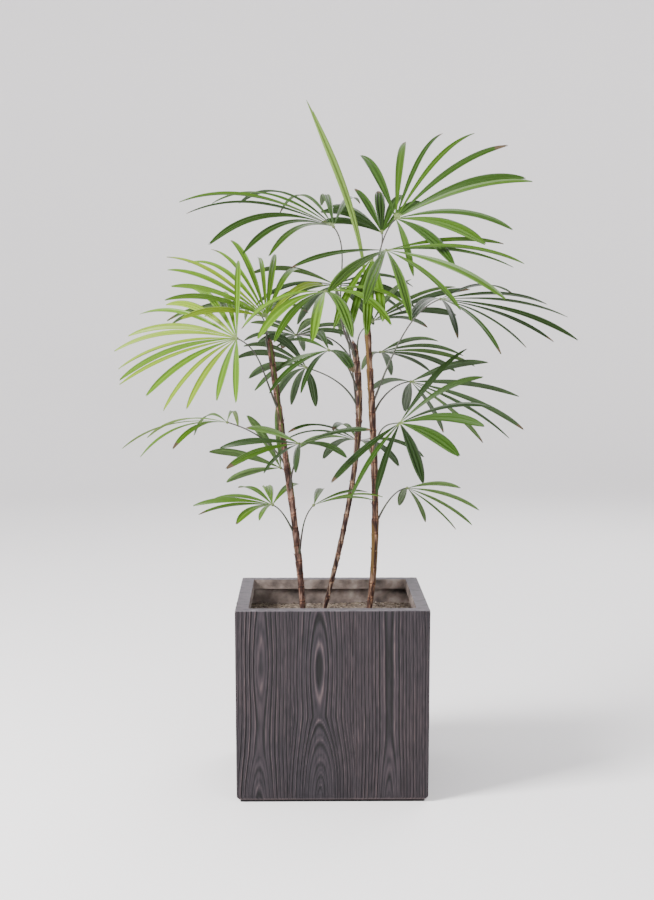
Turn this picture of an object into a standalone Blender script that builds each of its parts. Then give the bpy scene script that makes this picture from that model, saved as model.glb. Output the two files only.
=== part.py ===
"""Slender lady palm in a cube planter of moulded fibreclay.

Metres, +Z up. The origin is the centre of the planter's flat underside. The planter's front looks along
-Y, and +X is to the right of it. Three thin canes stand in the soil. Each carries fans of narrow leaflets
on thin stalks, and a folded new leaf on the right-hand cane is the tallest piece.
"""

import math
import random
from typing import NamedTuple

import bpy
from mathutils import Vector
from mathutils.bvhtree import BVHTree

GAP = 0.0003

# Planter
PLANTER_SIDE = 0.300
PLANTER_HEIGHT = 0.300
PLANTER_DRAFT = 0.0015
CORNER_CUT = 0.002
RIM_THICKNESS = 0.022
RIM_EASE = 0.001
LIP_HEIGHT = 0.016
WALL_THICKNESS = 0.013
FLOOR_THICKNESS = 0.020
FOOT_HEIGHT = 0.004
FOOT_INSET = 0.006
FOOT_CHAMFER = 0.004

# Soil
SOIL_TOP = PLANTER_HEIGHT - 0.037
SOIL_CROWN = 0.003
SOIL_SHOULDER = 0.012

# Canes
CANE_SIDES = 10
CANE_RINGS = 16
RING_CROWDING = 1.6
NECK = 0.42
NECK_HEIGHT = 0.030
FLARE = 0.90
FLARE_HEIGHT = 0.006
SMOOTH_BELOW = 50

# Leaf stalks and the hubs they carry
STALK_SIDES = 5
STALK_RINGS = 5
STALK_FOOT_RADIUS = 0.0018
STALK_END_RADIUS = 0.0013
STALK_SPREAD = 0.45
STALK_CLIMB_SHARE = 0.42
STALK_ARRIVAL_SHARE = 0.28
HUB_SIDES = 8
HUB_RADIUS = 0.009
HUB_HALF_HEIGHT = 0.0035

# Leaflets
LINE_STEPS = 24
STATIONS = (0, 5, 11, 18, 24)
ROOT_START = 0.0015
LEAFLET_WIDTH = 0.0145
TURN_JITTER = 0.22
LENGTH_RANGE = (0.92, 1.05)
WIDTH_RANGE = (0.72, 1.22)
DROOP_RANGE = (0.75, 1.25)
MOST_TWIST = 25
ROOT_SHARE = 0.15
TIP_SHARE = 0.16
WIDEST = 0.58
TIP_ROUNDING = 2.2
TIP_FULLNESS = 0.8
FOLD = 0.20
THICKNESS_SHARE = 0.0105
LEAST_THICKNESS = 0.0017
CUP = 0.25
EDGE_LOSS = 0.12
SAG_POWER = 1.5
LEAFLET_CLEARANCE = 0.0010
LIFTS = (0.0, 0.14, -0.14, 0.28, -0.28, 0.42)

# New leaf
SPEAR_START = 0.002
SPEAR_BENDS = ((-0.004, -0.004, 0.080), (-0.040, -0.010, 0.170), (-0.095, -0.012, 0.286))
SPEAR_WIDTH = 0.0085
SPEAR_FLATNESS = 0.5
SPEAR_ROOT_SHARE = 0.45
SPEAR_SECTIONS = 8


class Cane(NamedTuple):
    """A cane: the cubic curve that its centre follows, and its radius at the foot and at the tip."""
    name: str
    foot: tuple
    rise: tuple
    reach: tuple
    tip: tuple
    foot_radius: float
    tip_radius: float


class Frond(NamedTuple):
    """A fan of leaflets on its stalk.

    height is where the stalk leaves the cane, and hub is where the leaflets meet. The fan is a disc whose
    face is tilted by tilt degrees from straight up, towards the compass direction lean, where 0 is +X and
    90 is +Y. first and last are the ends of the fan, in degrees from the disc's lowest direction. droop
    says how much a leaflet bends down under its weight.
    """
    name: str
    cane: str
    height: float
    hub: tuple
    tilt: float
    lean: float
    first: float
    last: float
    count: int
    length: float
    droop: float


CANES = (
    Cane("cane_left", (-0.045, -0.014, SOIL_TOP + GAP), (-0.052, -0.010, 0.400),
         (-0.080, -0.002, 0.560), (-0.098, 0.002, 0.705), 0.0055, 0.0045),
    Cane("cane_middle", (-0.012, 0.020, SOIL_TOP + GAP), (0.018, 0.024, 0.383),
         (0.066, 0.032, 0.560), (0.037, 0.030, 0.700), 0.0042, 0.0048),
    Cane("cane_right", (0.060, 0.002, SOIL_TOP + GAP), (0.084, 0.006, 0.400),
         (0.064, 0.008, 0.600), (0.055, 0.004, 0.790), 0.0058, 0.0046),
)

FRONDS = (
    Frond("frond_left_1", "cane_left", 0.690, (-0.103, 0.000, 0.744), 42, -60, 132, 262, 12, 0.185, 0.75),
    Frond("frond_left_2", "cane_left", 0.600, (-0.147, -0.080, 0.713), 35, -110, -168, 22, 15, 0.205, 0.65),
    Frond("frond_left_3", "cane_left", 0.655, (-0.125, 0.120, 0.755), 5, 150, -100, 100, 9, 0.170, 0.7),
    Frond("frond_left_4", "cane_left", 0.490, (-0.082, 0.040, 0.500), 50, 95, 70, 185, 4, 0.120, 0.5),
    Frond("frond_left_5", "cane_left", 0.470, (-0.051, -0.070, 0.549), 20, -120, -110, 110, 7, 0.140, 0.5),
    Frond("frond_left_6", "cane_left", 0.510, (-0.168, 0.020, 0.576), 10, -160, -115, 35, 6, 0.180, 1.1),
    Frond("frond_left_7", "cane_left", 0.400, (-0.094, -0.030, 0.448), 10, -120, -175, 25, 8, 0.130, 0.6),
    Frond("frond_left_8", "cane_left", 0.365, (-0.028, -0.050, 0.450), 5, 180, -215, -60, 5, 0.125, 0.5),
    Frond("frond_middle_1", "cane_middle", 0.625, (-0.004, -0.020, 0.693), 25, -130, -140, 60, 7, 0.150, 0.9),
    Frond("frond_middle_2", "cane_middle", 0.600, (-0.040, 0.060, 0.663), 40, 70, 5, 165, 7, 0.125, 1.0),
    Frond("frond_middle_3", "cane_middle", 0.655, (-0.057, 0.200, 0.714), 20, 90, -150, 150, 10, 0.100, 0.6),
    Frond("frond_middle_4", "cane_middle", 0.680, (-0.010, -0.120, 0.785), 25, -110, -55, 85, 7, 0.170, 1.1),
    Frond("frond_middle_5", "cane_middle", 0.690, (0.004, 0.030, 0.890), 22, -60, 140, 300, 10, 0.255, 1.0),
    Frond("frond_middle_6", "cane_middle", 0.670, (0.072, 0.130, 0.738), 20, 120, 150, 290, 6, 0.170, 0.5),
    Frond("frond_middle_7", "cane_middle", 0.560, (0.010, 0.190, 0.800), 30, 90, -110, 110, 9, 0.170, 0.9),
    Frond("frond_right_1", "cane_right", 0.775, (0.104, 0.030, 0.903), 42, -118, 35, 212, 11, 0.228, 0.6),
    Frond("frond_right_2", "cane_right", 0.745, (0.083, -0.090, 0.848), 32, -80, -60, 105, 9, 0.222, 0.5),
    Frond("frond_right_3", "cane_right", 0.760, (0.086, 0.110, 0.884), 40, -85, 140, 250, 7, 0.120, 0.6),
    Frond("frond_right_4", "cane_right", 0.720, (0.061, -0.100, 0.835), 50, -108, -22, 22, 4, 0.150, 0.9),
    Frond("frond_right_5", "cane_right", 0.610, (0.174, -0.010, 0.774), 25, -50, -60, 100, 9, 0.220, 0.6),
    Frond("frond_right_6", "cane_right", 0.660, (0.082, 0.070, 0.688), 20, 60, -110, 40, 7, 0.155, 0.6),
    Frond("frond_right_7", "cane_right", 0.590, (0.130, 0.030, 0.641), 40, 40, -100, 75, 8, 0.200, 0.4),
    Frond("frond_right_8", "cane_right", 0.530, (0.104, -0.100, 0.583), 45, -130, -20, 155, 9, 0.175, 0.5),
    Frond("frond_right_9", "cane_right", 0.417, (0.123, 0.000, 0.471), 45, 40, -98, 55, 6, 0.130, 0.5),
    Frond("frond_right_10", "cane_right", 0.500, (0.047, 0.150, 0.536), 20, 70, -60, 180, 8, 0.145, 0.9),
)


def clear_scene():
    """Start from an empty scene."""
    for old in list(bpy.data.objects):
        bpy.data.objects.remove(old)


def plain_material(name, colour, roughness):
    """One finish with a single colour."""
    material = bpy.data.materials.new(name)
    material.use_nodes = True
    shader = material.node_tree.nodes["Principled BSDF"]
    shader.inputs["Base Color"].default_value = (*colour, 1.0)
    shader.inputs["Roughness"].default_value = roughness
    shader.inputs["Metallic"].default_value = 0.0
    return material


def fibreclay():
    """Dark grey clay with a purple cast, moulded from charred planks."""
    return plain_material("fibreclay", (0.045, 0.038, 0.042), 0.8)


def potting_mix():
    """Grey-brown bark and root fibre."""
    return plain_material("potting_mix", (0.14, 0.10, 0.07), 0.95)


def cane_skin():
    """Red-brown sheath fibre of the canes."""
    return plain_material("cane_skin", (0.13, 0.065, 0.045), 0.7)


def light_leaf():
    """Fresh yellow-green leaf."""
    return plain_material("light_leaf", (0.16, 0.34, 0.035), 0.45)


def deep_leaf():
    """Older, deeper green leaf."""
    return plain_material("deep_leaf", (0.06, 0.17, 0.03), 0.45)


def mesh_object(name, shell, material):
    """Object in the scene from vertices and faces."""
    vertices, faces = shell
    mesh = bpy.data.meshes.new(name)
    mesh.from_pydata([tuple(v) for v in vertices], [], faces)
    mesh.materials.append(material)
    mesh.update()
    body = bpy.data.objects.new(name, mesh)
    bpy.context.scene.collection.objects.link(body)
    return body


def loft(rings):
    """Closed shell through rings of equally many points; a ring of one point is a tip."""
    vertices = [point for ring in rings for point in ring]
    faces = []
    start = 0
    for ring, following in zip(rings, rings[1:]):
        after = start + len(ring)
        sides = max(len(ring), len(following))
        for i in range(sides):
            j = (i + 1) % sides
            if len(following) == 1:
                faces.append((start + i, start + j, after))
            else:
                faces.append((start + i, start + j, after + j, after + i))
        start = after
    faces.append(tuple(reversed(range(len(rings[0])))))
    if len(rings[-1]) > 1:
        faces.append(tuple(range(start, start + len(rings[-1]))))
    return vertices, faces


def square_ring(half, height, cut=CORNER_CUT):
    """Corners of a level square whose four corners are cut off."""
    ring = []
    for turn in range(4):
        corner = math.radians(90 * turn)
        for along, across in ((half, half - cut), (half - cut, half)):
            x = along * math.cos(corner) - across * math.sin(corner)
            y = along * math.sin(corner) + across * math.cos(corner)
            ring.append(Vector((x, y, height)))
    return ring


def inner_half(height):
    """Half the planter's inner width below the lip."""
    share = height / PLANTER_HEIGHT
    return PLANTER_SIDE / 2 - PLANTER_DRAFT * (1 - share) - WALL_THICKNESS


def make_planter(material):
    """Cube planter: a foot set in under it, plain walls, and a lip that is thicker than the wall."""
    top = PLANTER_SIDE / 2
    bottom = top - PLANTER_DRAFT
    lip_under = PLANTER_HEIGHT - LIP_HEIGHT
    levels = (
        (bottom - FOOT_INSET, 0.0),
        (bottom - FOOT_INSET, FOOT_HEIGHT),
        (bottom - FOOT_CHAMFER, FOOT_HEIGHT),
        (bottom, FOOT_HEIGHT + FOOT_CHAMFER),
        (top, PLANTER_HEIGHT - RIM_EASE),
        (top - RIM_EASE, PLANTER_HEIGHT),
        (top - RIM_THICKNESS + RIM_EASE, PLANTER_HEIGHT),
        (top - RIM_THICKNESS, PLANTER_HEIGHT - RIM_EASE),
        (top - RIM_THICKNESS, lip_under),
        (inner_half(lip_under), lip_under),
        (inner_half(FLOOR_THICKNESS), FLOOR_THICKNESS),
    )
    return mesh_object("planter", loft([square_ring(half, z) for half, z in levels]), material)


def make_soil(material):
    """Potting mix that fills the planter, a little lower along its edges."""
    floor = FLOOR_THICKNESS + GAP
    edge = SOIL_TOP - SOIL_CROWN
    levels = (
        (inner_half(floor) - GAP, floor),
        (inner_half(edge) - GAP, edge),
        (inner_half(SOIL_TOP) - SOIL_SHOULDER, SOIL_TOP),
    )
    return mesh_object("soil", loft([square_ring(half, z) for half, z in levels]), material)


def cubic(points, t):
    """Point of a cubic curve."""
    a, b, c, d = (Vector(p) for p in points)
    s = 1 - t
    return a * s ** 3 + b * 3 * s * s * t + c * 3 * s * t * t + d * t ** 3


def cubic_direction(points, t):
    """Direction of a cubic curve."""
    a, b, c, d = (Vector(p) for p in points)
    s = 1 - t
    return ((b - a) * s * s + (c - b) * 2 * s * t + (d - c) * t * t).normalized()


def cane_curve(cane):
    """The four points that a cane's centre line follows."""
    return cane.foot, cane.rise, cane.reach, cane.tip


def cane_radius(cane, t):
    """Radius along a cane, which narrows near the soil and then flares out into it."""
    above = cubic(cane_curve(cane), t).z - cane.foot[2]
    shape = 1 - NECK * math.exp(-above / NECK_HEIGHT) + FLARE * math.exp(-above / FLARE_HEIGHT)
    return (cane.foot_radius + (cane.tip_radius - cane.foot_radius) * t) * shape


def cane_at_height(cane, height):
    """Where along its curve a cane passes a height."""
    low, high = 0.0, 1.0
    for _ in range(40):
        middle = (low + high) / 2
        if cubic(cane_curve(cane), middle).z < height:
            low = middle
        else:
            high = middle
    return low


def tube_ring(centre, direction, radius, sides, start=Vector((0.0, -1.0, 0.0))):
    """Ring of points round a direction."""
    first = (start - direction * start.dot(direction)).normalized()
    second = direction.cross(first)
    ring = []
    for i in range(sides):
        turn = 2 * math.pi * i / sides
        ring.append(centre + (first * math.cos(turn) + second * math.sin(turn)) * radius)
    return ring


def make_cane(cane, material):
    """A cane from its level cut at the soil to its tip."""
    rings = []
    for i in range(CANE_RINGS + 1):
        t = (i / CANE_RINGS) ** RING_CROWDING
        centre = cubic(cane_curve(cane), t)
        direction = cubic_direction(cane_curve(cane), t) if i else Vector((0.0, 0.0, 1.0))
        rings.append(tube_ring(centre, direction, cane_radius(cane, t), CANE_SIDES))
    end = cubic_direction(cane_curve(cane), 1.0)
    rings.append([cubic(cane_curve(cane), 1.0) + end * cane.tip_radius * 2])
    body = mesh_object(cane.name, loft(rings), material)
    body.data.shade_smooth()
    body.data.set_sharp_from_angle(angle=math.radians(SMOOTH_BELOW))
    return body


def fan_frame(frond):
    """Directions of a fan: down its slope, level across it, and out of its upper face."""
    tilt = math.radians(frond.tilt)
    lean = math.radians(frond.lean)
    face = Vector((math.sin(tilt) * math.cos(lean), math.sin(tilt) * math.sin(lean), math.cos(tilt)))
    across = Vector((-math.sin(lean), math.cos(lean), 0.0))
    return across.cross(face), across, face


def fan_direction(frond, degrees):
    """Direction in the plane of a fan."""
    down, across, _ = fan_frame(frond)
    turn = math.radians(degrees)
    return down * math.cos(turn) + across * math.sin(turn)


def stalk_curve(frond, cane):
    """Curve of a leaf stalk: off the cane's skin, up beside it, then out into the fan."""
    hub = Vector(frond.hub)
    t = cane_at_height(cane, frond.height)
    root = cubic(cane_curve(cane), t)
    outward = Vector((hub.x - root.x, hub.y - root.y, 0.0)).normalized()
    start = root + outward * (cane_radius(cane, t) + STALK_FOOT_RADIUS + GAP)
    span = (hub - start).length
    middle = fan_direction(frond, (frond.first + frond.last) / 2)
    arrive = (middle + (hub - start).normalized()).normalized()
    climb = (cubic_direction(cane_curve(cane), t) + outward * STALK_SPREAD).normalized()
    return start, start + climb * span * STALK_CLIMB_SHARE, hub - arrive * span * STALK_ARRIVAL_SHARE, hub


def stalk_shell(curve):
    """Thin stalk along its curve."""
    rings = []
    for i in range(STALK_RINGS + 1):
        t = i / STALK_RINGS
        radius = STALK_FOOT_RADIUS + (STALK_END_RADIUS - STALK_FOOT_RADIUS) * t
        rings.append(tube_ring(cubic(curve, t), cubic_direction(curve, t), radius, STALK_SIDES))
    return loft(rings)


def hub_shell(frond):
    """Small flat double cone where the leaflets meet."""
    down, across, face = fan_frame(frond)
    centre = Vector(frond.hub)
    ring = []
    for i in range(HUB_SIDES):
        turn = 2 * math.pi * i / HUB_SIDES
        ring.append(centre + (down * math.cos(turn) + across * math.sin(turn)) * HUB_RADIUS)
    vertices = ring + [centre + face * HUB_HALF_HEIGHT, centre - face * HUB_HALF_HEIGHT]
    faces = []
    for i in range(HUB_SIDES):
        j = (i + 1) % HUB_SIDES
        faces.append((i, j, HUB_SIDES))
        faces.append((j, i, HUB_SIDES + 1))
    return vertices, faces


class Leaflet(NamedTuple):
    """What one leaflet of a fan is given: its direction in the fan, size, bend and twist."""
    turn: float
    length: float
    width: float
    droop: float
    twist: float


def fan_leaflets(frond):
    """The leaflets of a fan, evenly spread and then each a little off the rule."""
    dice = random.Random(frond.name)
    step = (frond.last - frond.first) / (frond.count - 1)
    leaflets = []
    for k in range(frond.count):
        place = 2 * k / (frond.count - 1) - 1
        turn = frond.first + step * (k + dice.uniform(-TURN_JITTER, TURN_JITTER))
        length = frond.length * (1 - EDGE_LOSS * place * place) * dice.uniform(*LENGTH_RANGE)
        width = LEAFLET_WIDTH * dice.uniform(*WIDTH_RANGE)
        droop = frond.droop * dice.uniform(*DROOP_RANGE)
        twist = dice.uniform(-MOST_TWIST, MOST_TWIST)
        leaflets.append(Leaflet(turn, length, width, droop, twist))
    return leaflets


def leaflet_line(frond, leaflet, lift):
    """Points of a leaflet's rib from its hub, with the direction along and across it at each."""
    down, across, face = fan_frame(frond)
    turn = math.radians(leaflet.turn)
    level = down * math.cos(turn) + across * math.sin(turn)
    first = (level + face * (CUP + lift)).normalized()
    wide = across * math.cos(turn) - down * math.sin(turn)
    point = Vector(frond.hub) + first * ROOT_START
    step = (leaflet.length - ROOT_START) / LINE_STEPS
    line = []
    for i in range(LINE_STEPS + 1):
        t = i / LINE_STEPS
        along = (first - Vector((0.0, 0.0, leaflet.droop * t ** SAG_POWER))).normalized()
        wide = (wide - along * wide.dot(along)).normalized()
        roll = math.radians(leaflet.twist) * t
        line.append((point.copy(), along, wide * math.cos(roll) + along.cross(wide) * math.sin(roll)))
        point += along * step
    return line


def width_share(t):
    """Width along a leaflet: narrow at the root, widest past the middle, short and blunt at the tip."""
    if t < WIDEST:
        return ROOT_SHARE + (1 - ROOT_SHARE) * math.sin(math.pi / 2 * t / WIDEST)
    closing = (t - WIDEST) / (1 - WIDEST)
    return max(TIP_SHARE, (1 - closing ** TIP_ROUNDING) ** TIP_FULLNESS)


def leaflet_shell(line, leaflet, margin=0.0):
    """Closed thin blade, folded along its rib like a shallow V, and cut blunt at the tip."""
    half_thickness = max(LEAST_THICKNESS, leaflet.length * THICKNESS_SHARE) / 2 + margin
    rings = []
    for index in STATIONS:
        point, along, wide = line[index]
        upper = along.cross(wide)
        half = leaflet.width / 2 * width_share(index / LINE_STEPS) + margin
        raised = upper * half * FOLD
        thin = half_thickness * (0.5 if index == LINE_STEPS else 1.0)
        rings.append([
            point - wide * half + raised,
            point - upper * thin,
            point + wide * half + raised,
            point + upper * thin,
        ])
    return loft(rings)


def tree_of(shell):
    """Search tree over the faces of a shell."""
    return BVHTree.FromPolygons(*shell)


def box_of(shell):
    """Lowest and highest corner of a shell."""
    low = [min(v[i] for v in shell[0]) for i in range(3)]
    high = [max(v[i] for v in shell[0]) for i in range(3)]
    return low, high


class Taken(NamedTuple):
    """Space that is already taken by a limb or a leaflet."""
    owner: str
    box: tuple
    tree: BVHTree


def takes(owner, shell):
    """Space that a shell takes for its owner."""
    return Taken(owner, box_of(shell), tree_of(shell))


def is_clear(shell, owner, taken):
    """True where a shell touches nothing that belongs to another owner."""
    low, high = box_of(shell)
    near = []
    for other in taken:
        if other.owner == owner:
            continue
        if all(low[i] <= other.box[1][i] and other.box[0][i] <= high[i] for i in range(3)):
            near.append(other)
    if not near:
        return True
    tree = tree_of(shell)
    return not any(tree.overlap(other.tree) for other in near)


def place_leaflets(frond, taken):
    """The leaflets of a fan that find room; one that would touch something bends up or down first."""
    shells = []
    for leaflet in fan_leaflets(frond):
        for lift in LIFTS:
            line = leaflet_line(frond, leaflet, lift)
            if is_clear(leaflet_shell(line, leaflet, LEAFLET_CLEARANCE), frond.name, taken):
                shell = leaflet_shell(line, leaflet)
                shells.append(shell)
                taken.append(takes(frond.name, shell))
                break
    return shells


def fuse(name, shells, material):
    """Join closed shells that run into each other as one closed body."""
    pieces = bpy.data.collections.new(name + "_pieces")
    bpy.context.scene.collection.children.link(pieces)
    for number, shell in enumerate(shells[1:]):
        piece = mesh_object(f"{name}_piece_{number}", shell, material)
        bpy.context.scene.collection.objects.unlink(piece)
        pieces.objects.link(piece)
    body = mesh_object(name, shells[0], material)
    union = body.modifiers.new("union", "BOOLEAN")
    union.operation = "UNION"
    union.operand_type = "COLLECTION"
    union.collection = pieces
    union.solver = "MANIFOLD"
    evaluated = body.evaluated_get(bpy.context.evaluated_depsgraph_get())
    joined = bpy.data.meshes.new_from_object(evaluated)
    body.modifiers.clear()
    body.data = joined
    joined.name = name
    for piece in list(pieces.objects):
        bpy.data.objects.remove(piece)
    bpy.data.collections.remove(pieces)
    return body


def spear_shell(cane):
    """New leaf, still folded: a slim blade that goes on from the tip of its cane."""
    tip = cubic(cane_curve(cane), 1.0)
    start = tip + cubic_direction(cane_curve(cane), 1.0) * (cane.tip_radius * 2 + SPEAR_START)
    curve = (start, *(start + Vector(bend) for bend in SPEAR_BENDS))
    rings = []
    for i in range(SPEAR_SECTIONS):
        t = i / SPEAR_SECTIONS
        half = SPEAR_WIDTH / 2 * (SPEAR_ROOT_SHARE + (1 - SPEAR_ROOT_SHARE) * math.sin(math.pi * t))
        centre = cubic(curve, t)
        ring = tube_ring(centre, cubic_direction(curve, t), half, 4)
        thin = [centre + (corner - centre) * SPEAR_FLATNESS for corner in ring]
        rings.append([thin[0], ring[1], thin[2], ring[3]])
    rings.append([cubic(curve, 1.0)])
    return loft(rings)


def main():
    """Build the plant and its planter."""
    clear_scene()
    clay = fibreclay()
    mix = potting_mix()
    skin = cane_skin()
    light = light_leaf()
    deep = deep_leaf()
    make_planter(clay)
    make_soil(mix)
    canes = {cane.name: cane for cane in CANES}
    taken = []
    for cane in CANES:
        body = make_cane(cane, skin)
        faces = [tuple(face.vertices) for face in body.data.polygons]
        taken.append(takes(cane.name, ([v.co.copy() for v in body.data.vertices], faces)))
    spear = spear_shell(canes["cane_right"])
    taken.append(takes("spear", spear))
    mesh_object("spear", spear, light)
    limbs = {}
    for frond in FRONDS:
        limbs[frond.name] = [hub_shell(frond), stalk_shell(stalk_curve(frond, canes[frond.cane]))]
        for shell in limbs[frond.name]:
            if not is_clear(shell, frond.name, taken):
                print("stalk or hub touches:", frond.name)
            taken.append(takes(frond.name, shell))
    for frond in FRONDS:
        leaflets = place_leaflets(frond, taken)
        print(frond.name, "leaflets", len(leaflets), "of", frond.count)
        fuse(frond.name, limbs[frond.name] + leaflets, light if frond.cane == "cane_left" else deep)


main()
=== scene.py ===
# %% [markdown]
# # Slender lady palm in a cube planter
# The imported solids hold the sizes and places. This script dresses them: every plain solid is replaced by
# a finer mesh that follows the same rule, and each mesh gets a finish made of shader nodes.

# %% Load the frame
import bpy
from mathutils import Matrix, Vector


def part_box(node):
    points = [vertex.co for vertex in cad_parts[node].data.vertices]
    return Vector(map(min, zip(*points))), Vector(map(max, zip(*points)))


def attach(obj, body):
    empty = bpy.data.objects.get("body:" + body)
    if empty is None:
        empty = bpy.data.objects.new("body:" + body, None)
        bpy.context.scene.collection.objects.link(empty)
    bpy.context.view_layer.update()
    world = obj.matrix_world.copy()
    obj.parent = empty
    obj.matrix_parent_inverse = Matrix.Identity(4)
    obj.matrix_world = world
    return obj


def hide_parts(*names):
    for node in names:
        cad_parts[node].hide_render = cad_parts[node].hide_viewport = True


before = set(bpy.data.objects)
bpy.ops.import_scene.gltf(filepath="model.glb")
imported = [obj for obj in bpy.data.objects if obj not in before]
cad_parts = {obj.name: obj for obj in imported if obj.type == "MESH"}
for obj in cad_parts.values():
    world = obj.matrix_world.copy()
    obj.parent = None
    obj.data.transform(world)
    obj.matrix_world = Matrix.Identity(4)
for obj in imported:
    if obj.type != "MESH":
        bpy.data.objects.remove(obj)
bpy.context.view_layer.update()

import math
import random
from typing import NamedTuple

import bpy
import numpy as np
from mathutils import Vector

# %% [markdown]
# ## Camera
# A photograph taken with a normal lens from a little above the planter's rim. The camera looks down by
# five degrees, so the rim shows as a narrow band and the crown is seen almost level.

# %% Camera
CAMERA_PLACE = (-0.040, -2.484, 0.753)
CAMERA_PITCH = 5.07
CAMERA_YAW = 0.77
LENS = 62.1
SENSOR_WIDTH = 36


def make_camera():
    """Camera at the photograph's place."""
    data = bpy.data.cameras.new("camera")
    data.lens = LENS
    data.sensor_width = SENSOR_WIDTH
    camera = bpy.data.objects.new("camera", data)
    camera.location = CAMERA_PLACE
    camera.rotation_euler = (math.radians(90 - CAMERA_PITCH), 0, math.radians(-CAMERA_YAW))
    bpy.context.scene.collection.objects.link(camera)
    bpy.context.scene.camera = camera
    return camera


print("lens:", make_camera().data.lens)

# %% [markdown]
# ## From points to a piece
# Every piece below is written as points and faces, because a plant's forms follow rules that are easy to
# say in numbers and slow to model by hand. Three small helpers take up what is the same each time: a
# finish, a smooth mesh that carries its finishes, and an object in the scene.

# %% Finish, mesh and object


def new_material(name, colour, roughness):
    """Principled finish with plain values; returns the material, its node tree and its shader."""
    material = bpy.data.materials.new(name)
    material.use_nodes = True
    tree = material.node_tree
    shader = tree.nodes["Principled BSDF"]
    shader.inputs["Base Color"].default_value = (*colour, 1.0)
    shader.inputs["Roughness"].default_value = roughness
    return material, tree, shader


def smooth_mesh(name, points, faces, finishes, finish_of_face=None, sharp=None):
    """Smooth mesh with its finishes; edges that bend by more than the sharp degrees stay crisp."""
    mesh = bpy.data.meshes.new(name)
    mesh.from_pydata(points, [], faces)
    for finish in finishes:
        mesh.materials.append(finish)
    if finish_of_face is not None:
        mesh.polygons.foreach_set("material_index", np.array(finish_of_face, dtype=np.int32))
    mesh.shade_smooth()
    if sharp is not None:
        mesh.set_sharp_from_angle(angle=math.radians(sharp))
    return mesh


def link_object(name, mesh):
    """Object in the scene for a finished mesh."""
    body = bpy.data.objects.new(name, mesh)
    bpy.context.scene.collection.objects.link(body)
    return body


print("helpers:", 3)

# %% [markdown]
# ## Studio
# The background is a seamless pale cove. A bowl of revolution gives it from every side: a flat floor that
# curves up into a wall all round. Large soft lamps stand in for the studio's softboxes, the strongest at
# the upper left, so the planter's shadow falls to the right.

# %% Cove
FLOOR_RADIUS = 4.0
COVE_RADIUS = 2.0
WALL_TOP = 5.0
COVE_SIDES = 96
COVE_STEPS = 16
PAPER = (0.90, 0.885, 0.895)


def make_cove():
    """Floor that curves up into a round wall."""
    profile = [(FLOOR_RADIUS, 0.0)]
    for i in range(1, COVE_STEPS + 1):
        turn = math.pi / 2 * i / COVE_STEPS
        profile.append((FLOOR_RADIUS + COVE_RADIUS * math.sin(turn), COVE_RADIUS * (1 - math.cos(turn))))
    profile.append((FLOOR_RADIUS + COVE_RADIUS, WALL_TOP))
    points = [(0.0, 0.0, 0.0)]
    faces = []
    for radius, height in profile:
        for k in range(COVE_SIDES):
            turn = 2 * math.pi * k / COVE_SIDES
            points.append((radius * math.cos(turn), radius * math.sin(turn), height))
    for k in range(COVE_SIDES):
        faces.append((0, 1 + k, 1 + (k + 1) % COVE_SIDES))
    for row in range(len(profile) - 1):
        for k in range(COVE_SIDES):
            a = 1 + row * COVE_SIDES + k
            b = 1 + row * COVE_SIDES + (k + 1) % COVE_SIDES
            faces.append((a, a + COVE_SIDES, b + COVE_SIDES, b))
    paper, _, _ = new_material("studio_paper", PAPER, 0.9)
    cove = link_object("cove", smooth_mesh("cove", points, faces, [paper]))
    return cove


print("cove faces:", len(make_cove().data.polygons))

# %% Lamps and air
AIR = (1.0, 0.99, 1.0)
AIR_STRENGTH = 0.82


class Lamp(NamedTuple):
    """A square soft lamp: where it stands, what it looks at, its side, its watts and its colour."""
    name: str
    place: tuple
    target: tuple
    size: float
    power: float
    colour: tuple


LAMPS = (
    Lamp("key", (-2.6, -1.5, 2.3), (0.0, 0.0, 0.5), 1.2, 370, (1.0, 0.985, 0.97)),
    Lamp("front_fill", (1.2, -3.2, 1.6), (0.0, 0.0, 0.5), 2.2, 55, (0.98, 0.99, 1.0)),
    Lamp("back", (1.3, 2.6, 2.4), (0.0, 0.0, 0.6), 2.0, 60, (1.0, 1.0, 1.0)),
)


def make_lamp(facts):
    """Area light from its facts."""
    data = bpy.data.lights.new(facts.name, "AREA")
    data.shape = "SQUARE"
    data.size = facts.size
    data.energy = facts.power
    data.color = facts.colour
    lamp = bpy.data.objects.new(facts.name, data)
    lamp.location = facts.place
    towards = Vector(facts.target) - Vector(facts.place)
    lamp.rotation_euler = towards.to_track_quat("-Z", "Y").to_euler()
    bpy.context.scene.collection.objects.link(lamp)


for lamp_facts in LAMPS:
    make_lamp(lamp_facts)
world = bpy.data.worlds.new("studio_air")
world.use_nodes = True
background = world.node_tree.nodes["Background"]
background.inputs["Color"].default_value = (*AIR, 1.0)
background.inputs["Strength"].default_value = AIR_STRENGTH
bpy.context.scene.world = world
print("lamps:", len(LAMPS))

# %% [markdown]
# ## Smooth noise in code
# Cast grain and bark are real relief, so they have to be in the mesh and not only in a bump node. A small
# smooth noise over a lattice of seeded random values moves the points. The same seed gives the same
# relief.

# %% Lattice noise
LATTICE = 64


def lattice_noise(x, y, seed):
    """Smooth noise from -1 to 1 over a plane."""
    table = np.random.default_rng(seed).random((LATTICE, LATTICE)) * 2 - 1
    column = np.floor(x).astype(int)
    row = np.floor(y).astype(int)
    u = x - column
    v = y - row
    u = u * u * (3 - 2 * u)
    v = v * v * (3 - 2 * v)
    a = table[column % LATTICE, row % LATTICE]
    b = table[(column + 1) % LATTICE, row % LATTICE]
    c = table[column % LATTICE, (row + 1) % LATTICE]
    d = table[(column + 1) % LATTICE, (row + 1) % LATTICE]
    return (a * (1 - u) + b * u) * (1 - v) + (c * (1 - u) + d * u) * v


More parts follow.
